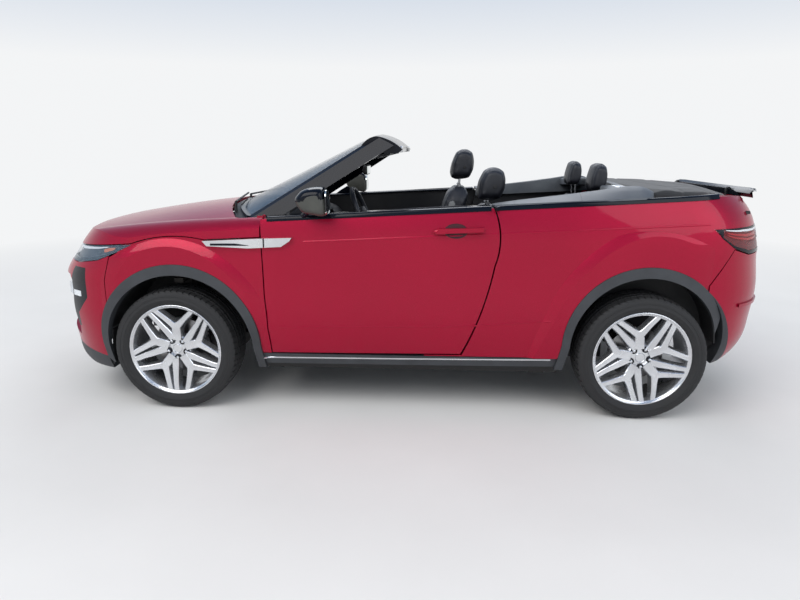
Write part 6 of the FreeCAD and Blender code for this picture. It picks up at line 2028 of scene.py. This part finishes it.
def add_floor():
    """A pale floor that keeps the shadow near the car and fades into the background."""
    reach = 60.0
    mesh = bpy.data.meshes.new("floor")
    corners = [(-reach, -reach, 0.0), (reach, -reach, 0.0), (reach, reach, 0.0), (-reach, reach, 0.0)]
    mesh.from_pydata(corners, [], [(0, 1, 2, 3)])
    floor = bpy.data.objects.new("floor", mesh)
    bpy.context.scene.collection.objects.link(floor)
    material, tree, shader = new_material("floor_finish")
    cloud = noise(tree, 1.2, 6.0)
    tree.links.new(ramp(tree, cloud, [(0.2, (0.73, 0.73, 0.73)), (0.8, (0.78, 0.78, 0.78))]),
                   shader.inputs["Base Color"])
    shader.inputs["Roughness"].default_value = 0.8
    shader.inputs["Specular IOR Level"].default_value = 0.2
    place = add_node(tree, "ShaderNodeTexCoord")
    distance = add_node(tree, "ShaderNodeVectorMath", operation="LENGTH")
    tree.links.new(place.outputs["Object"], distance.inputs[0])
    away = range_of(tree, distance.outputs["Value"], 0.0, 1.0, 2.6, 8.5)
    share = add_node(tree, "ShaderNodeMath", operation="MULTIPLY")
    tree.links.new(away, share.inputs[0])
    tree.links.new(seen_through(tree), share.inputs[1])
    glow = add_node(tree, "ShaderNodeEmission")
    glow.inputs["Color"].default_value = (*horizon, 1.0)
    blend = add_node(tree, "ShaderNodeMixShader")
    output = [node for node in tree.nodes if node.type == "OUTPUT_MATERIAL"][0]
    tree.links.new(share.outputs[0], blend.inputs["Fac"])
    tree.links.new(shader.outputs[0], blend.inputs[1])
    tree.links.new(glow.outputs[0], blend.inputs[2])
    tree.links.new(blend.outputs[0], output.inputs["Surface"])
    mesh.materials.append(material)


def add_area_light(name, place, target, size, power, colour=(1.0, 1.0, 1.0)):
    """A lamp turned to a target."""
    data = bpy.data.lights.new(name, "AREA")
    data.shape = "RECTANGLE"
    data.size, data.size_y = size
    data.energy = power
    data.color = colour
    light = bpy.data.objects.new(name, data)
    bpy.context.scene.collection.objects.link(light)
    light.location = place
    light.rotation_euler = (Vector(target) - Vector(place)).to_track_quat("-Z", "Y").to_euler()


def add_world():
    """A pale background that turns blue overhead, and an even light for the rest."""
    world = bpy.data.worlds.new("studio")
    world.use_nodes = True
    bpy.context.scene.world = world
    tree = world.node_tree
    tree.nodes.clear()
    output = add_node(tree, "ShaderNodeOutputWorld")
    place = add_node(tree, "ShaderNodeTexCoord")
    split = add_node(tree, "ShaderNodeSeparateXYZ")
    tree.links.new(place.outputs["Generated"], split.inputs["Vector"])
    stops = [(0.0, horizon), (0.12, horizon), (0.34, (0.42, 0.53, 0.70)), (0.75, (0.16, 0.25, 0.44))]
    seen = add_node(tree, "ShaderNodeBackground")
    tree.links.new(ramp(tree, split.outputs["Z"], stops), seen.inputs["Color"])
    around = add_node(tree, "ShaderNodeBackground")
    around.inputs["Color"].default_value = (0.80, 0.86, 0.94, 1.0)
    around.inputs["Strength"].default_value = 0.62
    choose = add_node(tree, "ShaderNodeMixShader")
    tree.links.new(seen_through(tree), choose.inputs["Fac"])
    tree.links.new(around.outputs["Background"], choose.inputs[1])
    tree.links.new(seen.outputs["Background"], choose.inputs[2])
    tree.links.new(choose.outputs["Shader"], output.inputs["Surface"])


add_floor()
add_world()
add_area_light("key", (-4.0, -6.0, 7.5), (0.0, 0.0, 0.6), (8.0, 6.0), 560.0, (1.0, 0.97, 0.93))
add_area_light("fill", (5.5, -5.0, 4.5), (0.3, 0.0, 0.6), (6.0, 4.0), 150.0)
add_area_light("back", (0.5, 6.0, 6.0), (0.0, 0.0, 0.8), (8.0, 4.0), 260.0)
add_camera()
bpy.context.scene.view_settings.view_transform = "Standard"
